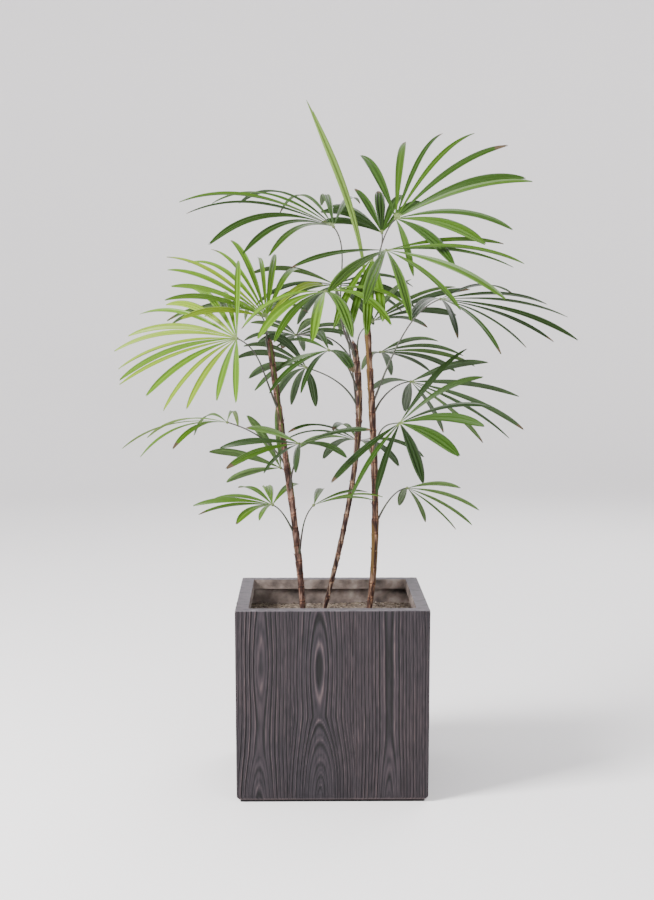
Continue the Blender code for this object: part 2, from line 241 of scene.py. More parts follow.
def layered_noise(x, y, layers, seed):
    """Sum of noises; each layer has a height, a scale along x and a scale along y."""
    total = 0
    for k, (height, x_scale, y_scale) in enumerate(layers):
        total = total + height * lattice_noise(x * x_scale, y * y_scale, seed + k)
    return total


def grid_faces(rows, columns, closed):
    """Quads over a grid of points, row by row; a closed grid joins its last column to its first."""
    spans = columns if closed else columns - 1
    i, j = np.meshgrid(np.arange(rows - 1), np.arange(spans), indexing="ij")
    k = (j + 1) % columns
    quads = [i * columns + j, i * columns + k, (i + 1) * columns + k, (i + 1) * columns + j]
    return np.stack(quads, axis=-1).reshape(-1, 4)


print("lattice:", LATTICE)

# %% [markdown]
# ## Planter
# The planter is fibreclay, cast in a mould taken from charred softwood planks, so its four outer faces
# carry the planks' grain as grooves. On sawn softwood the grain lines are growth rings cut at a shallow
# angle. The same idea gives them here: each plank has a heart line, the distance from it grows with
# height, and a groove lies wherever that distance passes a whole number of rings. Near the heart this
# draws nested arches, and away from it straight lines. A mesh of about 90,000 faces holds the grooves as
# real relief.

# %% Planter sizes
planter_low, planter_high = (np.array(corner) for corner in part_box("planter"))
SIDE = planter_high[0] - planter_low[0]
HEIGHT = planter_high[2]
DRAFT = 0.0015
CORNER_CUT = 0.002
RIM_THICKNESS = 0.022
RIM_EASE = 0.0012
LIP_HEIGHT = 0.016
WALL_THICKNESS = 0.013
FLOOR_THICKNESS = 0.020
FOOT_HEIGHT = 0.004
FOOT_INSET = 0.006
FOOT_CHAMFER = 0.004
print("planter:", round(SIDE, 3), "x", round(HEIGHT, 3))

# %% Growth rings
RING_SPACING = 0.0048
SWAY = ((0.0036, 5, 7), (0.0010, 16, 18))
HEART_WANDER = 0.004
CLIMB_PAST_END = 0.12
UNEVEN_RINGS = 0.35
PLANK_SHIFT = 0.37
FAR_AWAY = 9.0


class Plank(NamedTuple):
    """Heart line of a plank across a face, the heights its arches stand on and end at, and their slope."""
    heart: float
    foot: float
    slope: float
    end: float


FACES = (
    (Plank(-0.112, -0.09, 0.10, 0.075), Plank(-0.020, -0.01, 0.17, 0.135), Plank(0.088, -0.16, 0.06, 0.02)),
    (Plank(-0.085, -0.12, 0.06, 0.04), Plank(0.020, 0.00, 0.13, 0.19), Plank(0.112, -0.10, 0.08, 0.10)),
    (Plank(-0.100, -0.05, 0.12, 0.12), Plank(0.000, -0.12, 0.05, 0.03), Plank(0.095, 0.04, 0.14, 0.22)),
    (Plank(-0.118, -0.10, 0.10, 0.08), Plank(-0.030, 0.05, 0.14, 0.21), Plank(0.075, -0.08, 0.09, 0.06)),
)


def ring_field(across, up, planks, seed):
    """Number of growth rings between a point of a face and the nearest plank's heart."""
    sway = layered_noise(up, across, SWAY, seed)
    best = np.full(across.shape, FAR_AWAY)
    which = np.zeros(across.shape, dtype=int)
    for number, plank in enumerate(planks):
        aside = across + sway - plank.heart
        height = np.where(up < plank.end, up, plank.end + (up - plank.end) * CLIMB_PAST_END)
        wander = HEART_WANDER * lattice_noise(up * 9, up * 0 + number, seed + 2)
        depth = (height - plank.foot) * plank.slope + wander
        reach = np.sqrt(aside * aside + depth * depth)
        nearer = reach < best
        best = np.where(nearer, reach, best)
        which = np.where(nearer, number, which)
    uneven = UNEVEN_RINGS * lattice_noise(best * 90, which * 3.0, seed + 3)
    return best / RING_SPACING + uneven + which * PLANK_SHIFT


print("planks:", sum(len(planks) for planks in FACES))

# %% [markdown]
# ### Section of a growth ring
# Charring eats the soft early wood of a ring and leaves the hard late wood proud. So each ring has a deep
# groove on its line, a ridge beside it and a finer groove half way, and the whole surface is a little
# rough. Bell curves draw all of these, because they join without a step.

# %% Grain depth
GROOVE_WIDTH = 0.15
RIDGE_AND_HIGHLIGHT_PLACE = 0.27
RIDGE_AND_HIGHLIGHT_WIDTH = 0.09
FINE_WIDTH = 0.20
PLAIN_LEVEL = 0.34
GROOVE_SHARE = 0.75
FINE_SHARE = 0.22
MEAN_STRENGTH = 0.55
STRENGTH_SWING = 0.45
ROUGHNESS = ((0.12, 900, 90), (0.08, 260, 40))


def bell(offset, width):
    """Bell curve that is 1 where the offset is nothing."""
    return np.exp(-(offset / width) ** 2)


def grain_depth(across, up, planks, seed):
    """Depth of the grain from 0, the outer skin, to 1, the bottom of a groove."""
    rings = ring_field(across, up, planks, seed)
    number = np.floor(rings)
    place = rings - number
    strength = MEAN_STRENGTH + STRENGTH_SWING * lattice_noise(number * 1.7, up * 4, seed + 4)
    groove = bell(np.minimum(place, 1 - place), GROOVE_WIDTH) * strength
    # The ridge is raised relief, and its low depth also makes the finish paint a highlight on this side of
    # each groove.
    ridge_and_painted_highlight = bell(place - RIDGE_AND_HIGHLIGHT_PLACE, RIDGE_AND_HIGHLIGHT_WIDTH) * strength
    half_place = rings * 2.0 - np.floor(rings * 2.0)
    fine = bell(np.minimum(half_place, 1 - half_place), FINE_WIDTH)
    rough = layered_noise(across, up, ROUGHNESS, seed + 5)
    depth = PLAIN_LEVEL - PLAIN_LEVEL * ridge_and_painted_highlight + GROOVE_SHARE * groove + FINE_SHARE * fine + rough
    return np.clip(depth, 0.0, 1.0)


print("bell at its own width:", round(float(bell(1.0, 1.0)), 3))

# %% [markdown]
# ### Planter mesh
# The mesh is one stack of square rings: up the foot and the outer faces, over the rim, down the lip and
# the inner wall. Each ring's points are moved in or out by the depth of the relief there, and the depth
# stays on the mesh as an attribute, so that the finish can read it.

# %% Rings of the planter
SIDE_COLUMNS = (320, 196, 196, 196)
SIDE_DIRECTIONS = (((1, 0), (0, -1)), ((0, 1), (1, 0)), ((-1, 0), (0, 1)), ((0, -1), (-1, 0)))
FACE_ROWS = 74
RIM_STEPS = 7
LIP_STEPS = 6
INNER_STEPS = 8
FACE_FOOT_EASE = 0.0004
FACE_TOP_EASE = 0.0003
LIP_UNDERCUT = 0.001
INNER_EASE = 0.0005
INNER_DEPTH = 0.040


def square_points(half, cut):
    """Points round a level square, side by side, starting with the front."""
    sides = []
    for count, (along, out) in zip(SIDE_COLUMNS, SIDE_DIRECTIONS):
        run = np.linspace(-half + cut, half - cut, count)[:, None]
        sides.append(run * np.array(along) + half * np.array(out))
    return np.concatenate(sides)


def planter_levels():
    """Half width, height and part of each ring, from the foot over the rim to the inner floor."""
    top = SIDE / 2
    bottom = top - DRAFT
    face_foot = FOOT_HEIGHT + FOOT_CHAMFER
    face_height = HEIGHT - RIM_EASE - FOOT_HEIGHT - FOOT_CHAMFER
    levels = [
        (bottom - FOOT_INSET, 0.0, "foot"),
        (bottom - FOOT_INSET, FOOT_HEIGHT, "foot"),
        (bottom - FOOT_CHAMFER, FOOT_HEIGHT, "edge"),
        (bottom - FACE_FOOT_EASE, face_foot, "face"),
    ]
    for i in range(1, FACE_ROWS):
        share = i / FACE_ROWS
        levels.append((bottom + DRAFT * share, face_foot + face_height * share, "face"))
    levels.append((top - FACE_TOP_EASE, HEIGHT - RIM_EASE, "face"))
    for i in range(RIM_STEPS + 1):
        inwards = (RIM_THICKNESS - 2 * RIM_EASE) * i / RIM_STEPS
        levels.append((top - RIM_EASE - inwards, HEIGHT, "rim"))
    for i in range(1, LIP_STEPS + 1):
        down = (LIP_HEIGHT - RIM_EASE) * i / LIP_STEPS
        levels.append((top - RIM_THICKNESS, HEIGHT - RIM_EASE - down, "lip"))
    lip_under = HEIGHT - LIP_HEIGHT
    levels.append((top - WALL_THICKNESS - LIP_UNDERCUT, lip_under, "wall"))
    for i in range(INNER_STEPS + 1):
        share = i / INNER_STEPS
        height = lip_under - LIP_UNDERCUT - INNER_DEPTH * share
        levels.append((top - WALL_THICKNESS - INNER_EASE, height, "wall"))
    levels.append((bottom - WALL_THICKNESS, FLOOR_THICKNESS, "wall"))
    return levels


print("rings of the planter:", len(planter_levels()))

# %% Relief of the planter
GROOVE_DEPTH = 0.0014
LIP_SWELL = 0.0012
RIM_WEAR = 0.0006
CORNER_FADE = 0.003
CORNER_DEPTH = 0.45
# Depth given to the foot, which the finish turns near black: painted shade in the recess under the planter.
FOOT_PAINTED_SHADE = 0.9
GRAIN_SEED = 20
SEEDS_A_SIDE = 7


class Unevenness(NamedTuple):
    """Uneven skin of a part: mean depth, swing, marks in a metre, marks from ring to ring, and a seed."""
    mean: float
    swing: float
    marks: float
    ring_step: float
    seed: int


UNEVEN_PARTS = {
    "rim": Unevenness(0.25, 0.30, 260, 0.4, 90),
    "lip": Unevenness(0.5, 0.5, 180, 1.3, 95),
    "wall": Unevenness(0.5, 0.5, 60, 0.8, 99),
}


def side_depth(part, number, half, height, side):
    """Depth of the relief, from 0 to 1, along one side of one ring."""
    along = np.linspace(-half, half, SIDE_COLUMNS[side])
    if part == "face":
        up = np.full(len(along), height)
        grain = grain_depth(along, up, FACES[side], GRAIN_SEED + SEEDS_A_SIDE * side)
        inside = np.clip((half - np.abs(along)) / CORNER_FADE, 0, 1)
        return grain * inside + CORNER_DEPTH * (1 - inside)
    if part in UNEVEN_PARTS:
        uneven = UNEVEN_PARTS[part]
        ring_place = np.full(len(along), number * uneven.ring_step)
        noise = lattice_noise(along * uneven.marks, ring_place, uneven.seed + side)
        return uneven.mean + uneven.swing * noise
    # The foot gets a deep value that the finish turns near black, a painted shade under the planter.
    return np.full(len(along), FOOT_PAINTED_SHADE if part == "foot" else 0.0)


def planter_ring(number, half, height, part):
    """Points of one ring after its relief, and the depths that moved them."""
    flat = square_points(half, CORNER_CUT)
    up = np.full(len(flat), height)
    depth = np.concatenate([side_depth(part, number, half, height, side) for side in range(4)])
    outward = flat / np.linalg.norm(flat, ord=np.inf, axis=1)[:, None]
    outward = np.where(np.abs(outward) > 0.999, np.sign(outward), 0.0)
    if part == "face":
        flat = flat - outward * (depth * GROOVE_DEPTH)[:, None]
    elif part == "lip":
        flat = flat + outward * (depth * LIP_SWELL)[:, None]
    elif part == "rim":
        up = up - depth * RIM_WEAR
    return np.column_stack([flat, up]), depth


planter_rings = [planter_ring(number, *level) for number, level in enumerate(planter_levels())]
print("planter points:", sum(len(depth) for _, depth in planter_rings))

# %% [markdown]
# ### Fibreclay finishes
# The grain's colour follows the groove's depth, which the mesh carries as an attribute: almost black in the
# grooves, a dark purple grey between them, and a purple brown on the raised ridge beside each groove, which
# is a painted highlight. The same attribute gives the recessed foot under the planter a near-black painted
# shade. The rim is greyer, and the inner wall is bare brown clay. Noise on Object coordinates gives blots
# and grit, because it needs no UV map.

# %% Node helpers


def mesh_value(tree, name):
    """Output with the value that the mesh carries as an attribute."""
    reader = tree.nodes.new("ShaderNodeAttribute")
    reader.attribute_name = name
    return reader.outputs["Fac"]


def object_noise(tree, scale, detail, stretch=(1, 1, 1)):
    """Output of a noise on Object coordinates, stretched along an axis."""
    place = tree.nodes.new("ShaderNodeTexCoord")
    mapping = tree.nodes.new("ShaderNodeMapping")
    mapping.inputs["Scale"].default_value = stretch
    noise = tree.nodes.new("ShaderNodeTexNoise")
    noise.inputs["Scale"].default_value = scale
    noise.inputs["Detail"].default_value = detail
    tree.links.new(place.outputs["Object"], mapping.inputs["Vector"])
    tree.links.new(mapping.outputs["Vector"], noise.inputs["Vector"])
    return noise.outputs["Fac"]


def colour_ramp(tree, source, stops):
    """Colour output of a ramp with the given stops, read at the source's value."""
    ramp = tree.nodes.new("ShaderNodeValToRGB")
    elements = ramp.color_ramp.elements
    while len(elements) < len(stops):
        elements.new(0.5)
    for element, (place, colour) in zip(elements, stops):
        element.position = place
        element.color = (*colour, 1.0)
    tree.links.new(source, ramp.inputs["Fac"])
    return ramp.outputs["Color"]


def mix_colours(tree, factor, first, second, mode="MIX"):
    """Mix of two colour outputs."""
    mix = tree.nodes.new("ShaderNodeMix")
    mix.data_type = "RGBA"
    mix.blend_type = mode
    if isinstance(factor, float):
        mix.inputs[0].default_value = factor
    else:
        tree.links.new(factor, mix.inputs[0])
    tree.links.new(first, mix.inputs[6])
    tree.links.new(second, mix.inputs[7])
    return mix.outputs[2]


def add_bump(tree, shader, height, strength, distance):
    """Bump from a height output into the shader."""
    bump = tree.nodes.new("ShaderNodeBump")
    bump.inputs["Strength"].default_value = strength
    bump.inputs["Distance"].default_value = distance
    tree.links.new(height, bump.inputs["Height"])
    tree.links.new(bump.outputs["Normal"], shader.inputs["Normal"])


def blotted_material(name, colour, roughness, blots, stops):
    """Finish whose colour follows the blots of a noise; returns what new_material returns."""
    material, tree, shader = new_material(name, colour, roughness)
    tree.links.new(colour_ramp(tree, object_noise(tree, *blots), stops), shader.inputs["Base Color"])
    return material, tree, shader


def gritty_finish(name, colour, roughness, blots, stops, grit, strength, distance):
    """Blotted finish with a bump of fine grit."""
    material, tree, shader = blotted_material(name, colour, roughness, blots, stops)
    add_bump(tree, shader, object_noise(tree, *grit), strength, distance)
    return material


print("node helpers:", 7)

# %% Fibreclay finishes
# Colour by depth: the first stop paints a highlight on the ridges; the last ones make the grooves near
# black and paint shade on the recessed foot.
CHAR_AND_PAINTED_LIGHT_STOPS = (
    (0.0, (0.080, 0.059, 0.060)),
    (0.25, (0.028, 0.022, 0.026)),
    (0.55, (0.011, 0.009, 0.012)),
    (0.85, (0.002, 0.0018, 0.0022)),
)
WEATHER_STOPS = ((0.35, (0.74, 0.74, 0.80)), (0.65, (1.18, 1.08, 1.05)))
RIM_STOPS = ((0.3, (0.034, 0.028, 0.036)), (0.7, (0.090, 0.078, 0.090)))
CLAY_STOPS = (
    (0.32, (0.030, 0.023, 0.020)),
    (0.52, (0.120, 0.092, 0.080)),
    (0.72, (0.26, 0.22, 0.195)),
)


def charred_grain():
    """Outer faces: dark grooves between ridges that carry a painted highlight."""
    material, tree, shader = new_material("charred_grain", (0.035, 0.028, 0.031), 0.72)
    shader.inputs["Specular IOR Level"].default_value = 0.30
    grain = colour_ramp(tree, mesh_value(tree, "grain"), CHAR_AND_PAINTED_LIGHT_STOPS)
    weather = colour_ramp(tree, object_noise(tree, 9.0, 4.0, (1, 1, 0.5)), WEATHER_STOPS)
    tree.links.new(mix_colours(tree, 1.0, grain, weather, "MULTIPLY"), shader.inputs["Base Color"])
    add_bump(tree, shader, object_noise(tree, 60.0, 5.0, (14, 14, 0.8)), 0.45, 0.0006)
    return material


planter_finishes = [
    charred_grain(),
    gritty_finish("charred_rim", (0.16, 0.14, 0.155), 0.7, (70.0, 5.0), RIM_STOPS,
                  (420.0, 3.0), 0.4, 0.0004),
    gritty_finish("raw_clay", (0.20, 0.165, 0.135), 0.9, (38.0, 6.0), CLAY_STOPS,
                  (260.0, 5.0), 0.7, 0.0010),
]
print("planter finishes:", len(planter_finishes))

# %% Planter in place
GRAIN, RIM, CLAY = range(3)
FINISH_OF_PART = {"foot": GRAIN, "edge": RIM, "face": GRAIN, "rim": RIM, "lip": CLAY, "wall": CLAY}
PLANTER_SHARP = 38


def make_planter_mesh():
    """Closed mesh of the planter, with the depth of its relief as an attribute."""
    rows = len(planter_rings)
    columns = sum(SIDE_COLUMNS)
    faces = grid_faces(rows, columns, closed=True).tolist()
    faces.append(list(reversed(range(columns))))
    faces.append(list(range((rows - 1) * columns, rows * columns)))
    finish_of_row = [FINISH_OF_PART[part] for _, _, part in planter_levels()[1:]]
    finish_of_face = np.append(np.repeat(finish_of_row, columns), [GRAIN, CLAY])
    points = np.concatenate([ring for ring, _ in planter_rings]).tolist()
    mesh = smooth_mesh("planter_shell", points, faces, planter_finishes, finish_of_face, PLANTER_SHARP)
    depths = np.concatenate([depth for _, depth in planter_rings])
    attribute = mesh.attributes.new("grain", "FLOAT", "POINT")
    attribute.data.foreach_set("value", depths.astype(np.float32))
    return mesh


planter_shell = link_object("planter_shell", make_planter_mesh())
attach(planter_shell, "root")
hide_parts("planter")
print("planter faces:", len(planter_shell.data.polygons))

# %% [markdown]
# ## Potting mix
# The planter is filled to a few centimetres below the rim with bark and root fibre. A rolling surface
# carries the height, and chips of bark are scattered on it by Geometry Nodes, because loose pieces that
# catch the light are what makes mulch look like mulch.

# %% Soil surface
soil_low, soil_high = (np.array(corner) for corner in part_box("soil"))
SOIL_HALF = soil_high[0]
SOIL_CELLS = 90
SOIL_ROLL = 0.0022
SOIL_LUMPS = 0.6
SOIL_UNDER = 1.3
SOIL_SINK = 0.003
SOIL_EDGE = 0.012
SOIL_TAPER = 0.0015
SOIL_SHARP = 50
MIX_STOPS = (
    (0.32, (0.035, 0.025, 0.018)),
    (0.52, (0.125, 0.092, 0.066)),
    (0.72, (0.30, 0.245, 0.195)),
)


def soil_surface():
    """Points of the rolling top of the mix, row by row."""
    line = np.linspace(-SOIL_HALF, SOIL_HALF, SOIL_CELLS)
    x, y = np.meshgrid(line, line, indexing="xy")
    waves = lattice_noise(x * 30 + 40, y * 30 + 40, 5)
    lumps = lattice_noise(x * 110 + 90, y * 110 + 90, 6)
    inside = np.clip((SOIL_HALF - np.maximum(np.abs(x), np.abs(y))) / SOIL_EDGE, 0, 1)
    roll = SOIL_ROLL * (waves + SOIL_LUMPS * lumps) * inside
    z = soil_high[2] - SOIL_ROLL * SOIL_UNDER - SOIL_SINK * (1 - inside) + roll
    return np.column_stack([x.ravel(), y.ravel(), z.ravel()])


def make_soil_mesh():
    """Rolling top of the mix, with straight sides down to its underside."""
    top = soil_surface()
    faces = grid_faces(SOIL_CELLS, SOIL_CELLS, closed=False).tolist()
    last = SOIL_CELLS - 1
    rim = list(range(SOIL_CELLS))
    rim += [i * SOIL_CELLS + last for i in range(1, SOIL_CELLS)]
    rim += [last * SOIL_CELLS + j for j in range(last - 1, -1, -1)]
    rim += [i * SOIL_CELLS for i in range(last - 1, 0, -1)]
    shrink = (SOIL_HALF - SOIL_TAPER) / SOIL_HALF
    below = top[rim] * [shrink, shrink, 0.0] + [0.0, 0.0, soil_low[2]]
    start = len(top)
    count = len(rim)
    for k in range(count):
        n = (k + 1) % count
        faces.append((rim[k], start + k, start + n, rim[n]))
    faces.append(tuple(start + k for k in reversed(range(count))))
    mix = gritty_finish("bark_fibre", (0.13, 0.095, 0.068), 0.95, (150.0, 6.0), MIX_STOPS,
                        (500.0, 4.0), 0.8, 0.0015)
    points = np.concatenate([top, below]).tolist()
    return smooth_mesh("potting_mix", points, faces, [mix], sharp=SOIL_SHARP)


soil_top = link_object("soil_top", make_soil_mesh())
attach(soil_top, "root")
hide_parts("soil")
print("soil faces:", len(soil_top.data.polygons))

# %% [markdown]
# ### Bark chips
# Each chip is a coarse ball pressed flat, which at this size is all that shows. Geometry Nodes put points
# on those faces of the mix that look up, one ball on each, turned and stretched at random. The tree ends
# in Realize Instances and Set Material, so that the chips can be exported as a plain mesh.

# %% Chip tree
TURN_LEAST = (-0.7, -0.7, 0.0)
TURN_MOST = (0.7, 0.7, 6.283)
CHIP_LEAST = (0.35, 0.18, 0.08)
CHIP_MOST = (1.35, 0.55, 0.26)
UPWARD = 0.5
SCATTER_SEED = 11
TURN_SEED = 3
STRETCH_SEED = 5


def random_vector(nodes, least, most, seed):
    """Node that gives each chip its own vector."""
    node = nodes.new("FunctionNodeRandomValue")
    node.data_type = "FLOAT_VECTOR"
    node.inputs["Min"].default_value = least
    node.inputs["Max"].default_value = most
    node.inputs["Seed"].default_value = seed
    return node


CHIP_INPUTS = (
    ("Surface", "NodeSocketGeometry"),
    ("Density", "NodeSocketFloat"),
    ("Chip size", "NodeSocketFloat"),
    ("Finish", "NodeSocketMaterial"),
)


def chip_tree():
    """Scatter of flat bark chips over a surface, and the identifiers of its three settings."""
    tree = bpy.data.node_groups.new("bark_chips", "GeometryNodeTree")
    sockets = []
    for name, kind in CHIP_INPUTS:
        sockets.append(tree.interface.new_socket(name, in_out="INPUT", socket_type=kind))
    tree.interface.new_socket("Chips", in_out="OUTPUT", socket_type="NodeSocketGeometry")
    nodes = tree.nodes
    given = nodes.new("NodeGroupInput")
    result = nodes.new("NodeGroupOutput")
    scatter = nodes.new("GeometryNodeDistributePointsOnFaces")
    scatter.inputs["Seed"].default_value = SCATTER_SEED
    normal = nodes.new("GeometryNodeInputNormal")
    apart = nodes.new("ShaderNodeSeparateXYZ")
    upward = nodes.new("FunctionNodeCompare")
    upward.inputs["B"].default_value = UPWARD
    chip = nodes.new("GeometryNodeMeshIcoSphere")
    chip.inputs["Subdivisions"].default_value = 1
    spread = nodes.new("GeometryNodeInstanceOnPoints")
    turn = random_vector(nodes, TURN_LEAST, TURN_MOST, TURN_SEED)
    stretch = random_vector(nodes, CHIP_LEAST, CHIP_MOST, STRETCH_SEED)
    scaled = nodes.new("ShaderNodeVectorMath")
    scaled.operation = "SCALE"
    real = nodes.new("GeometryNodeRealizeInstances")
    coat = nodes.new("GeometryNodeSetMaterial")
    joins = (
        (normal, "Normal", apart, "Vector"),
        (apart, "Z", upward, "A"),
        (given, "Surface", scatter, "Mesh"),
        (upward, "Result", scatter, "Selection"),
        (given, "Density", scatter, "Density"),
        (scatter, "Points", spread, "Points"),
        (chip, "Mesh", spread, "Instance"),
        (turn, "Value", spread, "Rotation"),
        (stretch, "Value", scaled, "Vector"),
        (given, "Chip size", scaled, "Scale"),
        (scaled, "Vector", spread, "Scale"),
        (spread, "Instances", real, "Geometry"),
        (real, "Geometry", coat, "Geometry"),
        (given, "Finish", coat, "Material"),
        (coat, "Geometry", result, "Chips"),
    )
    for source, output, target, entry in joins:
        tree.links.new(source.outputs[output], target.inputs[entry])
    return tree, [socket.identifier for socket in sockets[1:]]


print("chip shapes from", CHIP_LEAST, "to", CHIP_MOST)

# %% Bark chips in place
CHIP_DENSITY = 17000.0
CHIP_SIZE = 0.0042
CHIP_STOPS = (
    (0.34, (0.025, 0.017, 0.012)),
    (0.52, (0.085, 0.060, 0.045)),
    (0.72, (0.24, 0.20, 0.17)),
)


def bake_nodes(body, name):
    """Plain mesh of what an object's Geometry Nodes make."""
    evaluated = body.evaluated_get(bpy.context.evaluated_depsgraph_get())
    mesh = bpy.data.meshes.new_from_object(evaluated)
    mesh.name = name
    body.modifiers.clear()
    return mesh


def make_chips():
    """Bark chips on the soil."""
    bark = gritty_finish("bark_chip", (0.19, 0.14, 0.10), 0.9, (95.0, 2.0), CHIP_STOPS,
                         (600.0, 3.0), 0.5, 0.0006)
    carrier = link_object("chip_carrier", soil_top.data.copy())
    modifier = carrier.modifiers.new("bark_chips", "NODES")
    modifier.node_group, settings = chip_tree()
    for identifier, value in zip(settings, (CHIP_DENSITY, CHIP_SIZE, bark)):
        modifier[identifier] = value
    mesh = bake_nodes(carrier, "bark_chips")
    bpy.data.objects.remove(carrier)
    return link_object("bark_chips", mesh)


bark_chips = make_chips()
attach(bark_chips, "root")
print("chip faces:", len(bark_chips.data.polygons))

# %% [markdown]
# ## The rule of the plant
# A lady palm grows cane-like stems. Each leaf is a stalk with a fan of leaflets that meet at a small hub.
# The tables below give the canes, and for each cane its fans: the height that the stalk leaves the cane
# at, the hub, the tilt of the fan's disc and the way it leans, and the span, number, length and droop of
# its leaflets. A seeded rule gives each leaflet its own direction, size, bend and twist. It is the rule
# that made the solids, so the finer leaflets lie where they do.

# %% Canes
GAP = 0.0003
SOIL_TOP = 0.263
CANE_FOOT = SOIL_TOP + GAP


class Cane(NamedTuple):
    """A cane: the cubic curve that its centre follows, and its radius at the foot and at the tip."""
    name: str
    foot: tuple
    rise: tuple
    reach: tuple
    tip: tuple
    foot_radius: float
    tip_radius: float


CANES = (
    Cane("cane_left", (-0.045, -0.014, CANE_FOOT), (-0.052, -0.010, 0.400),
         (-0.080, -0.002, 0.560), (-0.098, 0.002, 0.705), 0.0055, 0.0045),
    Cane("cane_middle", (-0.012, 0.020, CANE_FOOT), (0.018, 0.024, 0.383),
         (0.066, 0.032, 0.560), (0.037, 0.030, 0.700), 0.0042, 0.0048),
    Cane("cane_right", (0.060, 0.002, CANE_FOOT), (0.084, 0.006, 0.400),
         (0.064, 0.008, 0.600), (0.055, 0.004, 0.790), 0.0058, 0.0046),
)
cane_of = {cane.name: cane for cane in CANES}
print("canes:", len(CANES))

# %% Fans


class Frond(NamedTuple):
    """A fan of leaflets on its stalk."""
    name: str
    cane: str
    height: float
    hub: tuple
    tilt: float
    lean: float
    first: float
    last: float
    count: int
    length: float
    droop: float


FANS = {
    "left": (
        (0.690, (-0.103, 0.000, 0.744), 42, -60, 132, 262, 12, 0.185, 0.75),
        (0.600, (-0.147, -0.080, 0.713), 35, -110, -168, 22, 15, 0.205, 0.65),
        (0.655, (-0.125, 0.120, 0.755), 5, 150, -100, 100, 9, 0.170, 0.7),
        (0.490, (-0.082, 0.040, 0.500), 50, 95, 70, 185, 4, 0.120, 0.5),
        (0.470, (-0.051, -0.070, 0.549), 20, -120, -110, 110, 7, 0.140, 0.5),
        (0.510, (-0.168, 0.020, 0.576), 10, -160, -115, 35, 6, 0.180, 1.1),
        (0.400, (-0.094, -0.030, 0.448), 10, -120, -175, 25, 8, 0.130, 0.6),
        (0.365, (-0.028, -0.050, 0.450), 5, 180, -215, -60, 5, 0.125, 0.5),
    ),
    "middle": (
        (0.625, (-0.004, -0.020, 0.693), 25, -130, -140, 60, 7, 0.150, 0.9),
        (0.600, (-0.040, 0.060, 0.663), 40, 70, 5, 165, 7, 0.125, 1.0),
        (0.655, (-0.057, 0.200, 0.714), 20, 90, -150, 150, 10, 0.100, 0.6),
        (0.680, (-0.010, -0.120, 0.785), 25, -110, -55, 85, 7, 0.170, 1.1),
        (0.690, (0.004, 0.030, 0.890), 22, -60, 140, 300, 10, 0.255, 1.0),
        (0.670, (0.072, 0.130, 0.738), 20, 120, 150, 290, 6, 0.170, 0.5),
        (0.560, (0.010, 0.190, 0.800), 30, 90, -110, 110, 9, 0.170, 0.9),
    ),
    "right": (
        (0.775, (0.104, 0.030, 0.903), 42, -118, 35, 212, 11, 0.228, 0.6),
        (0.745, (0.083, -0.090, 0.848), 32, -80, -60, 105, 9, 0.222, 0.5),
        (0.760, (0.086, 0.110, 0.884), 40, -85, 140, 250, 7, 0.120, 0.6),
        (0.720, (0.061, -0.100, 0.835), 50, -108, -22, 22, 4, 0.150, 0.9),
        (0.610, (0.174, -0.010, 0.774), 25, -50, -60, 100, 9, 0.220, 0.6),
        (0.660, (0.082, 0.070, 0.688), 20, 60, -110, 40, 7, 0.155, 0.6),
        (0.590, (0.130, 0.030, 0.641), 40, 40, -100, 75, 8, 0.200, 0.4),
        (0.530, (0.104, -0.100, 0.583), 45, -130, -20, 155, 9, 0.175, 0.5),
        (0.417, (0.123, 0.000, 0.471), 45, 40, -98, 55, 6, 0.130, 0.5),
        (0.500, (0.047, 0.150, 0.536), 20, 70, -60, 180, 8, 0.145, 0.9),
    ),
}
FRONDS = [
    Frond(f"frond_{side}_{number}", f"cane_{side}", *facts)
    for side, fans in FANS.items()
    for number, facts in enumerate(fans, start=1)
]
print("fans:", len(FRONDS))

# %% [markdown]
# ### Curves of canes and stalks
# Canes and stalks are round and bend gently, so a cubic curve with a radius along it says all there is. A
# stalk leaves its cane steeply, because a leaf base clasps the stem, and arrives in the plane of its fan.

# %% Curves of canes and stalks
NECK = 0.42
NECK_HEIGHT = 0.030
FLARE = 0.90
FLARE_HEIGHT = 0.006
STALK_ROOT_SHARE = 0.6
STALK_SPREAD = 0.45
STALK_CLIMB_SHARE = 0.42
STALK_ARRIVAL_SHARE = 0.28
HALVINGS = 40


def cubic(points, t):
    """Point of a cubic curve."""
    a, b, c, d = (Vector(p) for p in points)
    s = 1 - t
    return a * s ** 3 + b * 3 * s * s * t + c * 3 * s * t * t + d * t ** 3


def cubic_direction(points, t):
    """Direction of a cubic curve."""
    a, b, c, d = (Vector(p) for p in points)
    s = 1 - t
    return ((b - a) * s * s + (c - b) * 2 * s * t + (d - c) * t * t).normalized()


def cane_curve(cane):
    """The four points that a cane's centre line follows."""
    return cane.foot, cane.rise, cane.reach, cane.tip


def cane_radius(cane, t):
    """Radius along a cane, which narrows near the soil and then flares out into it."""
    above = cubic(cane_curve(cane), t).z - cane.foot[2]
    shape = 1 - NECK * math.exp(-above / NECK_HEIGHT) + FLARE * math.exp(-above / FLARE_HEIGHT)
    return (cane.foot_radius + (cane.tip_radius - cane.foot_radius) * t) * shape


def cane_at_height(cane, height):
    """Where along its curve a cane passes a height."""
    low, high = 0.0, 1.0
    for _ in range(HALVINGS):
        middle = (low + high) / 2
        if cubic(cane_curve(cane), middle).z < height:
            low = middle
        else:
            high = middle
    return low


def fan_frame(frond):
    """Directions of a fan: down its slope, level across it, and out of its upper face."""
    tilt = math.radians(frond.tilt)
    lean = math.radians(frond.lean)
    face = Vector((math.sin(tilt) * math.cos(lean), math.sin(tilt) * math.sin(lean), math.cos(tilt)))
    across = Vector((-math.sin(lean), math.cos(lean), 0.0))
    return across.cross(face), across, face


def fan_direction(frond, degrees):
    """Direction in the plane of a fan."""
    down, across, _ = fan_frame(frond)
    turn = math.radians(degrees)
    return down * math.cos(turn) + across * math.sin(turn)


